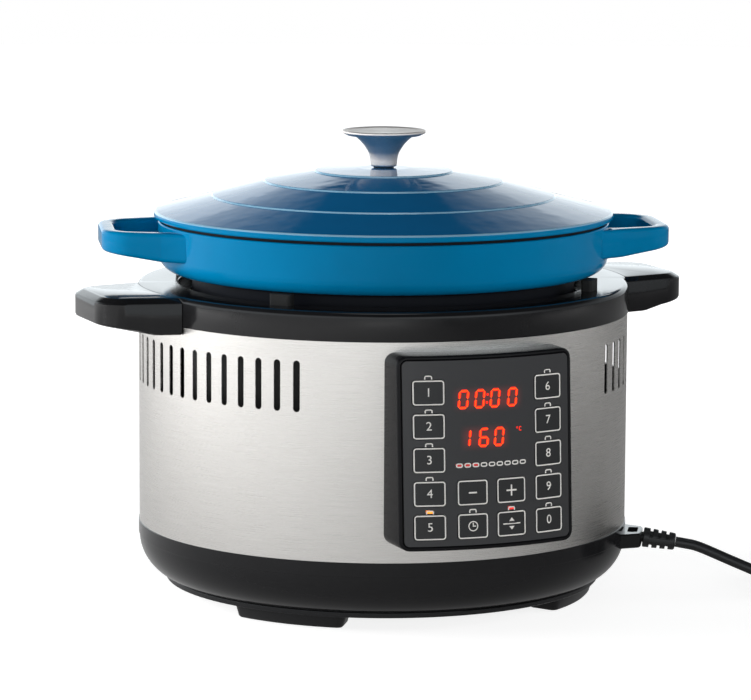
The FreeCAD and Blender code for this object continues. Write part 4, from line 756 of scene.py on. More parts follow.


# The band's inner wall gets the painted shade.
line_inside(band, -1)
place(band, on_axis)
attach(band, "housing")
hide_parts("outer_shell")


# Heated well: a plated sheet bowl, a cast aluminium plate with its tube cast in, and a sprung sensor.
# They show when the pot is out, and the bowl shows through the slots.
BOWL_PROFILE = [(20.0, 69.2), (122.0, 69.2, 8.0), (122.0, 184.2), (136.0, 184.2), (136.0, 185.0),
                (121.2, 185.0), (121.2, 70.0, 7.2), (20.0, 70.0)]
PLATE_PROFILE = [(16.0, 80.0), (100.0, 80.0, 1.0), (100.0, 90.0, 1.5), (16.0, 90.0, 0.8)]
SENSOR_PROFILE = [(0, 65.0), (5.0, 65.0, 0.6), (5.0, 85.0), (13.0, 85.0, 0.8), (13.0, 90.0, 1.2), (0, 90.0)]
bowl_steel = finish("plated_bowl", (0.62, 0.62, 0.60), 0.42, scale=160, amount=0.25, spread=0.2, bump=0.02,
                    metallic=1.0)
heater_cast = finish("turned_aluminium", (0.60, 0.60, 0.60), 0.36, scale=900, amount=0.2, bump=0.05,
                     metallic=1.0)
for name, profile, cad, body, coat, slot_name in (
        ("well_bowl", BOWL_PROFILE, "inner_bowl", "housing", bowl_steel, "bowl_steel"),
        ("heater_plate", PLATE_PROFILE, "heating_plate", "housing", heater_cast, "heater_aluminium"),
        ("sensor_button", SENSOR_PROFILE, "sensor_cap", "sensor", heater_cast, "heater_aluminium")):
    piece = turned(name, profile)
    piece.data.materials.append(coat)
    # The bowl's outside, seen through the slots, gets the painted shade.
    if cad == "inner_bowl":
        line_inside(piece, 1)
    place(piece, on_axis)
    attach(piece, body)
    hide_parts(cad)
element_steel = finish("tinted_tube", (0.30, 0.26, 0.23), 0.4, scale=120, amount=0.5, metallic=1.0)
part_dark = finish("dark_resin", (0.03, 0.026, 0.024), 0.5, scale=900, amount=0.3, bump=0.05)
dress(["heating_element"], element_steel)
dress(["thermal_cutout", "sensor_guide", "relay", "filter_capacitor", "key_switches"], part_dark)
board_green = finish("circuit_board", (0.02, 0.12, 0.05), 0.45, scale=300, amount=0.5)
dress(["power_board", "display_board"], board_green)
dress(["transformer"], finish("varnished_core", (0.16, 0.10, 0.05), 0.5, scale=400, amount=0.4))


# Panel frame: a deep moulded rim in black plastic that stands off the band and holds the key face.
# It is bowed with the band, leans back a little, and is screwed on from inside.
PANEL_HALF, PANEL_LOW, PANEL_HIGH, PANEL_CORNER = 55.0, 56.5, 170.0, 6.0
PANEL_FOOT_RADIUS, PANEL_LEAN = 174.6, 6.0
PANEL_WALL, PANEL_ROUND, PANEL_GROOVE, PANEL_SHELF = 2.6, 1.2, 0.8, 5.0
CORNER_POINTS = 6
panel_middle = (PANEL_LOW + PANEL_HIGH) / 2


def on_panel(x, z, proud=0.0):
    """Point of the bowed face, given in millimetres across and up."""
    radius = PANEL_FOOT_RADIUS - PANEL_LEAN * (z - PANEL_LOW) / (PANEL_HIGH - PANEL_LOW) + proud
    return axis + Vector((x, -math.sqrt(radius * radius - x * x), z)) * MM


def tile(x, z, half_width, half_height, corner, across=1, up=1):
    """Outline of a rounded tile, with its straight sides divided."""
    corners = rounded_box(x - half_width, z - half_height, x + half_width, z + half_height, corner,
                          CORNER_POINTS - 1)
    result = []
    for i, here in enumerate(corners):
        result.append(here)
        side, point = divmod(i, CORNER_POINTS)
        if point == CORNER_POINTS - 1:
            following = corners[(i + 1) % len(corners)]
            parts = (across, up)[side % 2]
            result += [here.lerp(following, k / parts) for k in range(1, parts)]
    return result


def frame_outline(inset):
    """Outline of the frame from the front, drawn in by inset."""
    half_height = panel_middle - PANEL_LOW - inset
    return tile(0, panel_middle, PANEL_HALF - inset, half_height, PANEL_CORNER - inset, across=24, up=14)


def frame_loop(inset, proud):
    """That outline on the bowed face."""
    return [on_panel(p.x, p.y, proud) for p in frame_outline(inset)]


def frame_foot(inset):
    """That outline on the steel band."""
    return [axis + Vector((p.x, -math.sqrt(BAND_RADIUS ** 2 - p.x ** 2), p.y)) * MM
            for p in frame_outline(inset)]


frame_loops = [frame_foot(0)]
for k in range(5):
    turn = math.pi / 2 * k / 4
    frame_loops.append(frame_loop(PANEL_ROUND * (1 - math.cos(turn)), PANEL_ROUND * (math.sin(turn) - 1)))
frame_loops += [frame_loop(PANEL_WALL - PANEL_GROOVE, 0), frame_loop(PANEL_WALL, -PANEL_GROOVE),
                frame_loop(PANEL_WALL, -PANEL_SHELF), frame_foot(PANEL_WALL)]
panel_frame = smooth(loft("panel_frame", frame_loops, closed=True), 32)
panel_black = finish("polished_frame", (0.007, 0.007, 0.008), 0.22, scale=1500, amount=0.2, spread=0.08,
                     bump=0.03, specular_ior_level=0.11)
panel_frame.data.materials.append(panel_black)
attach(panel_frame, "housing")
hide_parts("panel_housing")


# Key face: a moulded charcoal plate let into the frame, with windows for the keys and the small lamps.
# White tabs and pills are printed round the lamps, and each lamp is a small lens let in flush.
PRINT_LOW, PRINT_HIGH = -0.06, 0.05
TAB_HALF, TAB_HEIGHT, TAB_LINE, TAB_GAP = 2.3, 2.3, 0.7, 0.35
TAB_ROUND, TAB_INNER_ROUND = 1.2, 0.5
LAMP_RISE, LENS_SUNK, LENS_DEPTH = 8.8, 0.06, 4.0
KEY_LENS, PILL_LENS = (1.5, 0.6, 0.3), (1.3, 0.6, 0.55)
PILL_OUTER, PILL_INNER = (2.1, 1.35, 1.3), (1.35, 0.65, 0.6)
KEY_HALF, KEY_HALF_HEIGHT = 9.3, 7.4
KEY_ROW, KEY_ROW_PITCH, KEY_COLUMNS = 70.4, 19.6, (-37.6, -12.2, 12.2, 37.6)
PILL_LEVEL, PILL_PITCH, PILLS, LIT_PILLS = 106.0, 5.0, 9, 3
KEY_NAMES = (("bake", "manual", "soup", "sear", "slow_cook"), ("delay", "minus"), ("temp_timer", "plus"),
             ("keep_warm", "stir_fry", "roast", "stew", "braise"))
keys = {name: (x, KEY_ROW + KEY_ROW_PITCH * row) for x, column in zip(KEY_COLUMNS, KEY_NAMES)
        for row, name in enumerate(column)}
FACE_COLOUR = (0.033, 0.033, 0.035)


def face_finish(name):
    """The face's own dull charcoal."""
    return finish(name, FACE_COLOUR, 0.34, scale=2200, amount=0.15, spread=0.08, bump=0.05,
                  specular_ior_level=0.4)


dress(["panel_fascia"], face_finish("charcoal_face"))


def print_ring(outer, inner, proud=0.0):
    """Thin printed line between two outlines."""
    section = ((outer, PRINT_LOW), (outer, PRINT_HIGH), (inner, PRINT_HIGH), (inner, PRINT_LOW))
    loops = [[on_panel(p.x, p.y, proud + level) for p in outline] for outline, level in section]
    return loft("line", loops, closed=True)


def print_patch(outline, proud=0.0, low=PRINT_LOW):
    """Thin printed patch inside an outline."""
    levels = (proud + low, proud + PRINT_HIGH)
    return loft("patch", [[on_panel(p.x, p.y, level) for p in outline] for level in levels])


def lamp_tab(x, z):
    """Arch printed over a key, open towards it."""
    left, right = x - TAB_HALF, x + TAB_HALF
    low = z + KEY_HALF_HEIGHT + TAB_GAP
    high = low + TAB_HEIGHT
    arch = [(left, low), (left, high, TAB_ROUND), (right, high, TAB_ROUND), (right, low)]
    arch += [(right - TAB_LINE, low), (right - TAB_LINE, high - TAB_LINE, TAB_INNER_ROUND),
             (left + TAB_LINE, high - TAB_LINE, TAB_INNER_ROUND), (left + TAB_LINE, low)]
    return print_patch(rounded_outline(arch, 4))


def ride_panel(piece, coat):
    """Coats a piece that is fixed to the panel."""
    piece.data.materials.append(coat)
    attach(piece, "housing")


lamp_keys = [name for name in keys if name not in ("minus", "plus")]
pills = [(PILL_PITCH * (k - (PILLS - 1) / 2), PILL_LEVEL) for k in range(PILLS)]
lines = [lamp_tab(*keys[name]) for name in lamp_keys]
lines += [print_ring(tile(x, z, *PILL_OUTER), tile(x, z, *PILL_INNER)) for x, z in pills]
print_white = finish("white_print", (0.92, 0.90, 0.86), 0.5, scale=2500, amount=0.08, bump=0.02)
lamp_lines = joined("lamp_outlines", lines)
ride_panel(lamp_lines, print_white)


def lamp_glow(name, colour, strength):
    """Coloured plastic lit from behind."""
    made = finish(name, colour, 0.4, scale=1200, amount=0.2, bump=0.02)
    shader = made.node_tree.nodes["Principled BSDF"]
    shader.inputs["Emission Color"].default_value = (*colour, 1)
    shader.inputs["Emission Strength"].default_value = strength
    return made


lamp_off = finish("lamp_lens", (0.03, 0.03, 0.032), 0.3, scale=1200, amount=0.3, bump=0.02)
lamp_red = lamp_glow("lamp_red", (0.80, 0.04, 0.03), 0.8)
lamp_dim = lamp_glow("lamp_dim", (0.45, 0.03, 0.03), 0.6)
lamp_orange = lamp_glow("lamp_orange", (1.0, 0.30, 0.03), 1.4)


def lens(x, z, half_width, half_height, corner):
    """Small block of clear plastic let into the face."""
    return print_patch(tile(x, z, half_width, half_height, corner), -LENS_SUNK, -LENS_DEPTH)


unlit_keys = [name for name in lamp_keys if name not in ("bake", "temp_timer")]
for name, coat, lamp_names, lamp_pills in (("lamps_off", lamp_off, unlit_keys, pills[LIT_PILLS:]),
                                           ("lamp_bake", lamp_orange, ["bake"], []),
                                           ("lamp_set", lamp_red, ["temp_timer"], []),
                                           ("stage_lamps", lamp_dim, [], pills[:LIT_PILLS])):
    windows = [lens(keys[key][0], keys[key][1] + LAMP_RISE, *KEY_LENS) for key in lamp_names]
    windows += [lens(x, z, *PILL_LENS) for x, z in lamp_pills]
    piece = joined(name, windows)
    ride_panel(piece, coat)
    if name == "lamps_off":
        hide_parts("light_pipes")


# Displays: two rows of slanted lit segments that shine through the dark face.
# Hours and minutes stand above, and the temperature with its degree mark below.
DIGIT_HALF, DIGIT_HALF_HEIGHT, DIGIT_SLANT = 2.5, 4.9, 0.1
SEGMENT, SEGMENT_CORE, SEGMENT_GAP, CORE_PROUD = 1.7, 0.5, 0.2, 0.02
TIME_PLACES, TIME_LEVEL = (-17.1, -7.1, 2.4, 13.6), 144.4
HEAT_PLACES, HEAT_LEVEL = (-16.0, -4.8, 4.8), 121.8
COLON_PLACE, COLON_RISE, COLON_DOT = -2.5, 2.3, (0.7, 0.7, 0.3)
LETTER_PLACE, DEGREE_PLACE = (17.6, 125.6), (16.5, 126.3)
DEGREE_OUTER, DEGREE_INNER = (0.6, 0.6, 0.55), (0.3, 0.3, 0.25)
LETTER = [(1.6, 1.1), (1.4, 1.3, 0.2), (0.1, 1.3, 0.7), (0.1, -1.3, 0.7), (1.4, -1.3, 0.2), (1.6, -1.1),
          (1.6, -0.6), (1.2, -0.8, 0.2), (0.6, -0.8, 0.3), (0.6, 0.8, 0.3), (1.2, 0.8, 0.2), (1.6, 0.6)]
WINDOWS = {"time_window": (-1.6, TIME_LEVEL, 23.0, 8.4), "heat_window": (-3.6, HEAT_LEVEL, 16.6, 8.4)}
WINDOW_STRIPS, WINDOW_PROUD = 24, 0.02
HALO_COLOUR, HALO_SOFT = (0.085, 0.004, 0.003), 7.0
SEGMENTS = {"0": "abcdef", "1": "bc", "6": "acdefg"}


def lit_segment(x, z, name, line, proud):
    """One six-sided bar of a digit, in the digit's slanted frame."""
    w, h, t = DIGIT_HALF, DIGIT_HALF_HEIGHT, line / 2
    bars = {"a": (-w, h, w, h), "b": (w, 0, w, h), "c": (w, -h, w, 0), "d": (-w, -h, w, -h),
            "e": (-w, -h, -w, 0), "f": (-w, 0, -w, h), "g": (-w, 0, w, 0)}
    start, end = Vector(bars[name][:2]), Vector(bars[name][2:])
    way = (end - start).normalized()
    side = Vector((-way.y, way.x)) * t
    start, end = start + way * SEGMENT_GAP, end - way * SEGMENT_GAP
    near, far = start + way * t, end - way * t
    corners = [start, near - side, far - side, end, far + side, near + side]
    return print_patch([Vector((x + p.x + DIGIT_SLANT * p.y, z + p.y)) for p in corners], proud)


def lit_digits(digits, places, level, line, proud):
    """The lit bars of a row of digits."""
    return [lit_segment(x, level, name, line, proud) for digit, x in zip(digits, places)
            for name in SEGMENTS[digit]]


segment_red = lamp_glow("segment_red", (0.90, 0.018, 0.004), 0.9)
segment_core = lamp_glow("segment_core", (1.0, 0.10, 0.008), 1.0)
time_marks = lit_digits("0000", TIME_PLACES, TIME_LEVEL, SEGMENT, 0.0)
colon = [(COLON_PLACE + DIGIT_SLANT * rise, TIME_LEVEL + rise) for rise in (-COLON_RISE, COLON_RISE)]
time_marks += [print_patch(tile(x, z, *COLON_DOT)) for x, z in colon]
heat_marks = lit_digits("160", HEAT_PLACES, HEAT_LEVEL, SEGMENT, 0.0)
cores = lit_digits("0000", TIME_PLACES, TIME_LEVEL, SEGMENT_CORE, CORE_PROUD)
cores += lit_digits("160", HEAT_PLACES, HEAT_LEVEL, SEGMENT_CORE, CORE_PROUD)
ride_panel(joined("segment_cores", cores), segment_core)
degree_ring = print_ring(tile(*DEGREE_PLACE, *DEGREE_OUTER), tile(*DEGREE_PLACE, *DEGREE_INNER))
letter = rounded_outline([(LETTER_PLACE[0] + x, LETTER_PLACE[1] + z, *rest) for x, z, *rest in LETTER], 4)
heat_marks += [degree_ring, print_patch(letter)]
for name, marks in (("time_segments", time_marks), ("heat_segments", heat_marks)):
    ride_panel(joined(name, marks), segment_red)
dress(["time_display", "temperature_display"], part_dark)


def halo_finish(name, x, z, half_width, half_height):
    """The dark face with a dull red glow that fades out towards the edges of a window."""
    made = face_finish(name)
    tree = made.node_tree
    shader = tree.nodes["Principled BSDF"]
    where = node(tree, "ShaderNodeTexCoord")
    parts = node(tree, "ShaderNodeSeparateXYZ")
    link(tree, where, "Object", parts, "Vector")
    fades = []
    for way, middle, half_size in (("X", x, half_width), ("Z", z, half_height)):
        away = maths(tree, "ABSOLUTE", maths(tree, "SUBTRACT", (parts, way), middle * MM))
        fades.append(graded(tree, away, 0, half_size * MM, (half_size - HALO_SOFT) * MM, soft=True))
    glow = node(tree, "ShaderNodeVectorMath", operation="SCALE")
    glow.inputs[0].default_value = HALO_COLOUR
    link(tree, maths(tree, "MULTIPLY", *fades), 0, glow, "Scale")
    link(tree, glow, "Vector", shader, "Emission Color")
    shader.inputs["Emission Strength"].default_value = 1.0
    return made


for name, (x, z, half_width, half_height) in WINDOWS.items():
    strips = [x + half_width * (2 * step / WINDOW_STRIPS - 1) for step in range(WINDOW_STRIPS + 1)]
    section = ((-1, PRINT_LOW), (-1, WINDOW_PROUD), (1, WINDOW_PROUD), (1, PRINT_LOW))
    window = loft(name, [[on_panel(along, z + side * half_height, proud) for side, proud in section]
                         for along in strips])
    ride_panel(window, halo_finish(name, x, z, half_width, half_height))


# Keys: fourteen black caps with a white line printed round each, that stand just proud of the face.
# Each is pressed straight back on its own small switch.
KEY_CORNER, KEY_PROUD, KEY_LINE, KEY_EDGE, KEY_DEPTH = 2.0, 0.3, 0.75, 0.2, 4.6
NUMERAL_HEIGHT, NUMERAL_RELIEF = 7.2, 0.05
KEY_INNER_LOOPS, KEY_LEAST_CORNER = (2.4, 4.6, 6.6), 0.4
MINUS_HALF, PLUS_HALF, SIGN_LINE, SIGN_ROUND = 2.5, 3.3, 0.45, 0.3
DIAL_OUTER, DIAL_INNER = (3.0, 3.0, 2.95), (2.4, 2.4, 2.35)
DIAL_HANDS = ((-0.3, -0.3), (1.7, -0.3), (1.7, 0.3), (0.3, 0.3), (0.3, 2.0), (-0.3, 2.0))
ARROW, ARROW_BAR = ((-1.7, 1.5), (1.7, 1.5), (0, 3.6)), (5.6, 0.35, 0.2)
NUMBERED_KEYS = ("keep_warm", "slow_cook", "sear", "soup", "manual", "bake", "braise", "stew", "roast",
                 "stir_fry")
key_black = finish("key_cap", (0.016, 0.016, 0.017), 0.34, scale=2600, amount=0.15, spread=0.08, bump=0.04,
                   specular_ior_level=0.4)


def key_loop(x, z, inset, proud):
    """Outline of a key, drawn in by inset."""
    corner = max(KEY_LEAST_CORNER, KEY_CORNER - inset)
    outline = tile(x, z, KEY_HALF - inset, KEY_HALF_HEIGHT - inset, corner, across=5)
    return [on_panel(p.x, p.y, proud) for p in outline]


def numeral(text, x, z):
    """A plain numeral as a thin closed mesh on the panel."""
    letters = bpy.data.curves.new("numeral", "FONT")
    letters.body = text
    letters.size = NUMERAL_HEIGHT
    letters.extrude = NUMERAL_RELIEF
    letters.align_x = "CENTER"
    letters.align_y = "CENTER"
    flat = object_from("numeral", letters)
    bpy.context.view_layer.update()
    mesh = bpy.data.meshes.new_from_object(flat.evaluated_get(bpy.context.evaluated_depsgraph_get()))
    bpy.data.objects.remove(flat)
    for corner in mesh.vertices:
        corner.co = on_panel(x + corner.co.x, z + corner.co.y, KEY_PROUD + corner.co.z)
    mark = object_from("numeral", mesh)
    outwards(mark, 1e-7)
    return mark


def key_mark(name, x, z):
    """What is printed on a key: a numeral, a sign or a plain symbol."""
    if name in NUMBERED_KEYS:
        return [numeral(str(NUMBERED_KEYS.index(name)), x, z)]
    if name == "minus":
        return [print_patch(tile(x, z, MINUS_HALF, SIGN_LINE, SIGN_ROUND, across=4), KEY_PROUD)]
    if name == "plus":
        return [print_patch(tile(x, z, PLUS_HALF, SIGN_LINE, SIGN_ROUND, across=4), KEY_PROUD),
                print_patch(tile(x, z, SIGN_LINE, PLUS_HALF, SIGN_ROUND), KEY_PROUD + 0.01)]
    if name == "delay":
        dial = print_ring(tile(x, z, *DIAL_OUTER), tile(x, z, *DIAL_INNER), KEY_PROUD)
        return [dial, print_patch([Vector((x + u, z + v)) for u, v in DIAL_HANDS], KEY_PROUD)]
    arrows = [[Vector((x + u, z + side * v)) for u, v in ARROW] for side in (-1, 1)]
    return [print_patch(outline, KEY_PROUD) for outline in [tile(x, z, *ARROW_BAR, across=10)] + arrows]


cap_rise = [(0, -KEY_DEPTH), (0, KEY_PROUD - KEY_EDGE), (KEY_EDGE * 0.3, KEY_PROUD - KEY_EDGE * 0.3)]
cap_rise += [(inset, KEY_PROUD) for inset in (KEY_EDGE, KEY_EDGE + KEY_LINE, *KEY_INNER_LOOPS)]
for name, (x, z) in keys.items():
    cap = loft("cap", [key_loop(x, z, inset, proud) for inset, proud in cap_rise])
    around = len(cap.data.vertices) // len(cap_rise)
    for face in cap.data.polygons[3 * around:4 * around]:
        face.material_index = 1
    marks = joined("marks", key_mark(name, x, z))
    for face in marks.data.polygons:
        face.material_index = 1
    key = smooth(joined(name + "_cap", [cap, marks]), 40)
    key.data.materials.append(key_black)
    key.data.materials.append(print_white)
    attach(key, name + "_key")
    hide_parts(name + "_key")


# Top ring: a moulded black rim that closes the housing above and carries the pot's pads.
# Its edge is rounded, but stays square where the two side handles butt against it, screwed on from inside.
RING_RADIUS, RING_BORE, RING_EDGE, RING_BUTT_EDGE, DECK = 151.7, 126.5, 3.5, 0.3, 193.0
RING_SECTION = [(RING_BORE, 185.0), (129.0, 185.0), (129.0, 190.0), (147.4, 190.0), (147.4, 169.5),
                (149.9, 169.5), (149.9, 175.5), (RING_RADIUS, 175.5, 0.6)]
HANDLE_ROOT_REACH, HANDLE_ROOT_HALF, HANDLE_SEAM = 146.0, 43.0, 0.4
HANDLE_REACH, HANDLE_TIP_HALF, HANDLE_TIP_ROUND = 192.5, 33.0, 19.0
HANDLE_BEVEL, HANDLE_DROP, HANDLE_EDGE = 4.5, 3.0, 1.6
HANDLE_LOW, HANDLE_HEEL, HANDLE_HEEL_RISE, HANDLE_TIP_LOW = 171.0, 8.0, 2.2, 176.8


def ring_slice(angle):
    """Section of the ring at an angle about its axis."""
    beside = RING_RADIUS * abs(math.sin(angle)) < HANDLE_ROOT_HALF - 1
    edge = RING_BUTT_EDGE if beside else RING_EDGE
    outline = rounded_outline(RING_SECTION + [(RING_RADIUS, DECK, edge), (RING_BORE, DECK, 1.5)], 8)
    return [(p.x * MM * math.cos(angle), p.x * MM * math.sin(angle), p.y * MM) for p in outline]


def handle_low(x):
    """Underside of a handle: flat at its heel, a short ramp, then a slow rise to the tip."""
    heel = RING_RADIUS + HANDLE_SEAM + HANDLE_HEEL
    ramp = min(1.0, max(0.0, (x - heel) / HANDLE_HEEL))
    past = max(0.0, x - heel - HANDLE_HEEL)
    slope = (HANDLE_TIP_LOW - HANDLE_LOW - HANDLE_HEEL_RISE) / (HANDLE_REACH - heel - HANDLE_HEEL)
    return HANDLE_LOW + HANDLE_HEEL_RISE * ramp * ramp * (3 - 2 * ramp) + slope * past


def handle_loop(inset, level):
    """Plan of a handle, drawn in by inset on its free sides, with its hollow root on the ring."""
    taper = (HANDLE_ROOT_HALF - HANDLE_TIP_HALF) / (HANDLE_REACH - HANDLE_ROOT_REACH)
    root_radius = RING_RADIUS + HANDLE_SEAM
    tip = HANDLE_REACH - inset
    drawn_in = inset * math.hypot(1, taper)
    half = [HANDLE_ROOT_HALF - drawn_in - taper * (x - HANDLE_ROOT_REACH) for x in (HANDLE_ROOT_REACH, tip)]
    root = HANDLE_ROOT_REACH
    for _ in range(8):
        root = math.sqrt(root_radius ** 2 - (half[0] - taper * (root - HANDLE_ROOT_REACH)) ** 2)
    root_half = half[0] - taper * (root - HANDLE_ROOT_REACH)
    corner = HANDLE_TIP_ROUND - inset * 0.6
    free = rounded_outline([(root, -root_half), (tip, -half[1], corner), (tip, half[1], corner),
                            (root, root_half)], 10)
    flank = [free[0].lerp(free[1], k / 10) for k in range(10)]
    free = flank + free[1:-1] + [Vector((p.x, -p.y)) for p in reversed(flank)]
    spread = math.asin(root_half / root_radius)
    hollow = [Vector((root_radius * math.cos(spread * k), root_radius * math.sin(spread * k)))
              for k in (0.75, 0.5, 0.25, 0, -0.25, -0.5, -0.75)]
    return [(p.x * MM, p.y * MM, level(p.x) * MM) for p in free + hollow]


ring = loft("housing_ring", [ring_slice(math.pi * k / 120) for k in range(240)], closed=True)
place(smooth(ring, 28), on_axis)
ring_black = finish("gloss_black", (0.009, 0.009, 0.010), 0.12, scale=260, amount=0.2, spread=0.06, bump=0.01,
                    specular_ior_level=0.3)
ring.data.materials.append(ring_black)
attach(ring, "housing")
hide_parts("top_ring")
handle_loops = [handle_loop(inset, lambda x: handle_low(x) + rise) for inset, rise in
                ((HANDLE_EDGE, 0), (HANDLE_EDGE * 0.3, HANDLE_EDGE * 0.3), (0, HANDLE_EDGE))]
handle_loops += [handle_loop(inset, lambda x: DECK - drop) for inset, drop in
                 ((0, HANDLE_DROP + 0.5), (0.4, HANDLE_DROP - 0.4), (HANDLE_BEVEL - 0.5, 0.3),
                  (HANDLE_BEVEL + 0.5, 0))]
for name, half_turn, cad in (("right_grip", 0, "right_handle"), ("left_grip", math.pi, "left_handle")):
    grip = smooth(loft(name, handle_loops), 24)
    place(grip, on_axis @ Matrix.Rotation(half_turn, 4, "Z"))
    grip.data.materials.append(ring_black)
    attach(grip, "housing")
    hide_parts(cad)
dress(["support_pads"], rubber_black)


# Pot: enamelled cast iron, glossy blue above and inside, a dark ground coat on its land and painted shade on
# its well.
# A wide band shows above the housing, and two loop handles are cast on, turned a little from the housing's.
POT_WELL, POT_BAND, POT_TOP, POT_WALL = 118.0, 138.4, 139.0, 4.6
POT_LOW, POT_FLOOR, SHOULDER, RIM, LAND_TOP = 90.0, 95.0, 200.0, 230.4, 232.4
LAND_RADIUS = 136.8
POT_YAW = math.radians(-14.4)
# Where the land's dark coat ends, and where the same dark colour is painted as shade below the shoulder.
LAND_DROP, LAND_INSET, SHADE_PAINT_RISE, SHADE_PAINT_FACING = 0.2, 1.5, 0.3, 0.2
LOOP_REACH, LOOP_BAR, LOOP_TOP = 175.0, 9.5, 228.4
LOOP_ROOT_HALF, LOOP_TIP_HALF, LOOP_CORNER = 43.0, 33.2, 20.0
LOOP_SUNK_REACH, LOOP_ROOT_REACH, LOOP_FLARE, LOOP_ROOT_ROUND = 124.0, 140.0, 4.0, 14.0
LOOP_SWELL_REACH, LOOP_SWELL_RUN, LOOP_SWELL = 148.0, 20.0, 4.0
LOOP_ROOT_LOW, LOOP_TIP_LOW, LOOP_EDGE = 210.9, 215.9, 2.6
pot_outer = [(0, POT_LOW), (POT_WELL, POT_LOW, 14.0), (POT_WELL, SHOULDER, 3.0), (POT_BAND, SHOULDER, 10.0),
             (POT_TOP, RIM, 1.0), (LAND_RADIUS, RIM), (LAND_RADIUS, LAND_TOP, 0.4), (0, LAND_TOP)]
bore = POT_BAND - POT_WALL
well = POT_WELL - POT_WALL
pot_cavity = [(0, POT_FLOOR), (well, POT_FLOOR, 9.4), (well, SHOULDER + POT_WALL, 3.0),
              (bore, SHOULDER + POT_WALL, 5.4), (bore, LAND_TOP + 10), (0, LAND_TOP + 10)]


def loop_handle():
    """Rounded bar bent into a loop; deeper and wider where it grows out of the pot's wall."""
    tip = LOOP_REACH - LOOP_BAR / 2
    side = [(LOOP_SUNK_REACH, LOOP_ROOT_HALF + LOOP_FLARE, 0),
            (LOOP_ROOT_REACH, LOOP_ROOT_HALF, LOOP_ROOT_ROUND), (tip, LOOP_TIP_HALF, LOOP_CORNER)]
    bend = rounded_outline([(x, -y, corner) for x, y, corner in side] + side[::-1], 12)
    loops = []
    for i, here in enumerate(bend):
        ahead = bend[min(i + 1, len(bend) - 1)] - bend[max(i - 1, 0)]
        ahead.normalize()
        across = Vector((ahead.y, -ahead.x))
        root = max(0.0, (LOOP_SWELL_REACH - here.x) / LOOP_SWELL_RUN)
        half_bar = LOOP_BAR / 2 + LOOP_SWELL * root * root
        share = (here.x - POT_TOP) / (LOOP_REACH - POT_TOP)
        low = LOOP_ROOT_LOW + (LOOP_TIP_LOW - LOOP_ROOT_LOW) * max(0.0, share)
        flat = rounded_box(-half_bar, low, half_bar, LOOP_TOP, LOOP_EDGE, 4)
        spots = [(here + across * p.x, p.y) for p in flat]
        loops.append([(spot.x * MM, spot.y * MM, level * MM) for spot, level in spots])
    return loft("loop", loops)


pot = turned("cast_pot", pot_outer, steps=240, corner_steps=10)
loops = [place(loop_handle(), Matrix.Rotation(POT_YAW + turn, 4, "Z")) for turn in (0, math.pi)]
pot = united("cast_pot", pot, loops)
cavity = turned("cavity", pot_cavity, steps=240, corner_steps=8)
pot = united("cast_pot", pot, [cavity], "DIFFERENCE")
place(smooth(pot, 32), on_axis)
blue_enamel = finish("blue_enamel", (0.0, 0.205, 0.435), 0.08, scale=60, amount=0.10, spread=0.05, bump=0.15,
                     detail=1.0, specular_ior_level=0.05)
# One dark colour: the ground coat of the land, and painted shade on the well and under the shoulder.
rim_coat_and_painted_shade = finish("ground_coat_and_painted_shade", (0.006, 0.007, 0.010), 0.55, scale=200, amount=0.3, specular_ior_level=0.15)
pot.data.materials.clear()
pot.data.materials.append(blue_enamel)
pot.data.materials.append(rim_coat_and_painted_shade)
# The land gets the ground coat; faces that look out or down below the shoulder get it as painted shade.
for face in pot.data.polygons:
    spoke = math.hypot(face.center.x - axis.x, face.center.y - axis.y) / MM
    land = face.center.z / MM > RIM - LAND_DROP and spoke < POT_TOP - LAND_INSET
    outward = Vector((face.center.x - axis.x, face.center.y - axis.y, 0)).normalized()
    outside = face.normal.dot(outward) > SHADE_PAINT_FACING or face.normal.z < -SHADE_PAINT_FACING
    if land or (outside and face.center.z / MM < SHOULDER + SHADE_PAINT_RISE):
        face.material_index = 1
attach(pot, "pot")
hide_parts("pot")


# Lid: enamelled casting in three rounded steps up to a small crown, with a lip that drops into the pot.
# The edges of the steps and of the rim carry a pale blue painted highlight.
LID_RADIUS, LID_RIM, LID_WALL = 141.5, 4.0, 4.0
RIDGES = ((105.0, 13.9), (73.0, 22.8), (42.0, 28.8))
RIDGE_STEP, RIDGE_ROUND, CROWN, CROWN_RADIUS, SCREW_HOLE = 1.1, 0.7, 30.2, 16.0, 3.2
# Where the pale painted highlight lies on the rim and along the steps.
RIM_PALE, RIM_PALE_END, PALE_FACING = 1.4, 0.2, 0.25
RIDGE_PALE, RIDGE_PALE_END = 0.1, 0.8 * RIDGE_STEP
LIP_OUTER, LIP_INNER, LIP_DEPTH = 132.8, 128.8, 6.0
lid_profile = [(LID_RADIUS, LAND_TOP, 1.2), (LID_RADIUS, LAND_TOP + LID_RIM, 1.9)]
for radius, rise in RIDGES:
    lid_profile += [(radius + RIDGE_STEP * 1.1, LAND_TOP + rise - RIDGE_STEP, RIDGE_ROUND),
                    (radius, LAND_TOP + rise, RIDGE_ROUND)]
crown_high, crown_low = LAND_TOP + CROWN, LAND_TOP + CROWN - LID_WALL
lid_profile += [(CROWN_RADIUS, crown_high), (SCREW_HOLE, crown_high), (SCREW_HOLE, crown_low),
                (CROWN_RADIUS, crown_low)]
lid_profile += [(radius, LAND_TOP + rise - RIDGE_STEP - LID_WALL, 3.0) for radius, rise in reversed(RIDGES)]
lid_profile += [(LIP_INNER, LAND_TOP + 1.0, 2.0), (LIP_INNER, LAND_TOP - LIP_DEPTH, 1.3),
                (LIP_OUTER, LAND_TOP - LIP_DEPTH, 1.3), (LIP_OUTER, LAND_TOP)]
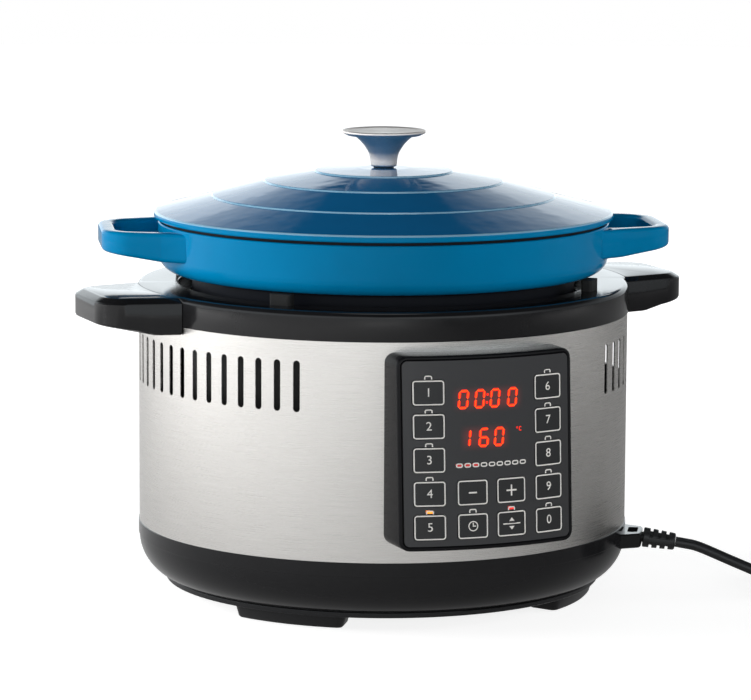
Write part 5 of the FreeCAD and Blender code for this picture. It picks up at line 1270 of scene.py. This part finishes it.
lid = place(turned("cast_lid", lid_profile, steps=240, angle=50), on_axis)
# The lid's top is the pot's blue enamel painted darker, as painted shade.
lid_painted_shade_enamel = finish("lid_painted_shade_enamel", (0.0, 0.134, 0.345), 0.07, scale=80, amount=0.08, spread=0.04, bump=0.14,
                    detail=1.0, specular_ior_level=0.16)
# Pale blue painted highlight for the edges of the steps and of the rim.
painted_edge_highlight = finish("painted_edge_highlight", (0.26, 0.50, 0.68), 0.10, scale=60, amount=0.3, spread=0.04, bump=0.1,
                     detail=1.0)
lid.data.materials.append(lid_painted_shade_enamel)
lid.data.materials.append(painted_edge_highlight)
lid.data.materials.append(blue_enamel)
# Upward faces on the step edges and the rim get the painted highlight; the outer rim gets the pot's blue.
for face in lid.data.polygons:
    spoke = math.hypot(face.center.x - axis.x, face.center.y - axis.y) / MM
    on_ridge = any(RIDGE_PALE < spoke - radius < RIDGE_PALE_END for radius, rise in RIDGES)
    on_rim = LID_RADIUS - RIM_PALE < spoke < LID_RADIUS - RIM_PALE_END
    if face.normal.z > PALE_FACING and (on_ridge or on_rim):
        face.material_index = 1
    elif spoke > LID_RADIUS - RIM_PALE:
        face.material_index = 2
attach(lid, "lid")
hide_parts("lid")


# Knob: a trumpet of turned steel, screwed on through a thin washer.
# Its top is a shallow dish with a raised edge.
KNOB_PROFILE = [(0, 263.4), (8.0, 263.4, 1.1), (8.5, 269.4, 20.0), (9.6, 272.4, 14.0), (12.5, 276.9, 16.0),
                (15.4, 279.9, 12.0), (18.0, 282.1, 1.2), (22.6, 282.6, 1.0), (25.8, 284.2, 0.9),
                (25.6, 285.6, 0.6), (24.6, 285.85, 0.5), (22.4, 285.2, 3.0), (0, 284.6)]
WASHER_PROFILE = [(3.4, 262.6), (6.2, 262.6), (6.2, 263.4), (3.4, 263.4)]
knob = place(turned("steel_knob", KNOB_PROFILE, steps=128, angle=40), on_axis)
knob_steel = brushed_steel("turned_knob", (0.97, 0.90, 0.86), 0.50, 0.2)
knob.data.materials.append(knob_steel)
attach(knob, "lid")
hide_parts("lid_knob")
washer = place(turned("knob_seal", WASHER_PROFILE, steps=64), on_axis)
washer.data.materials.append(rubber_black)
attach(washer, "lid")
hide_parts("knob_washer")
dress(["knob_screw"], screw_steel)
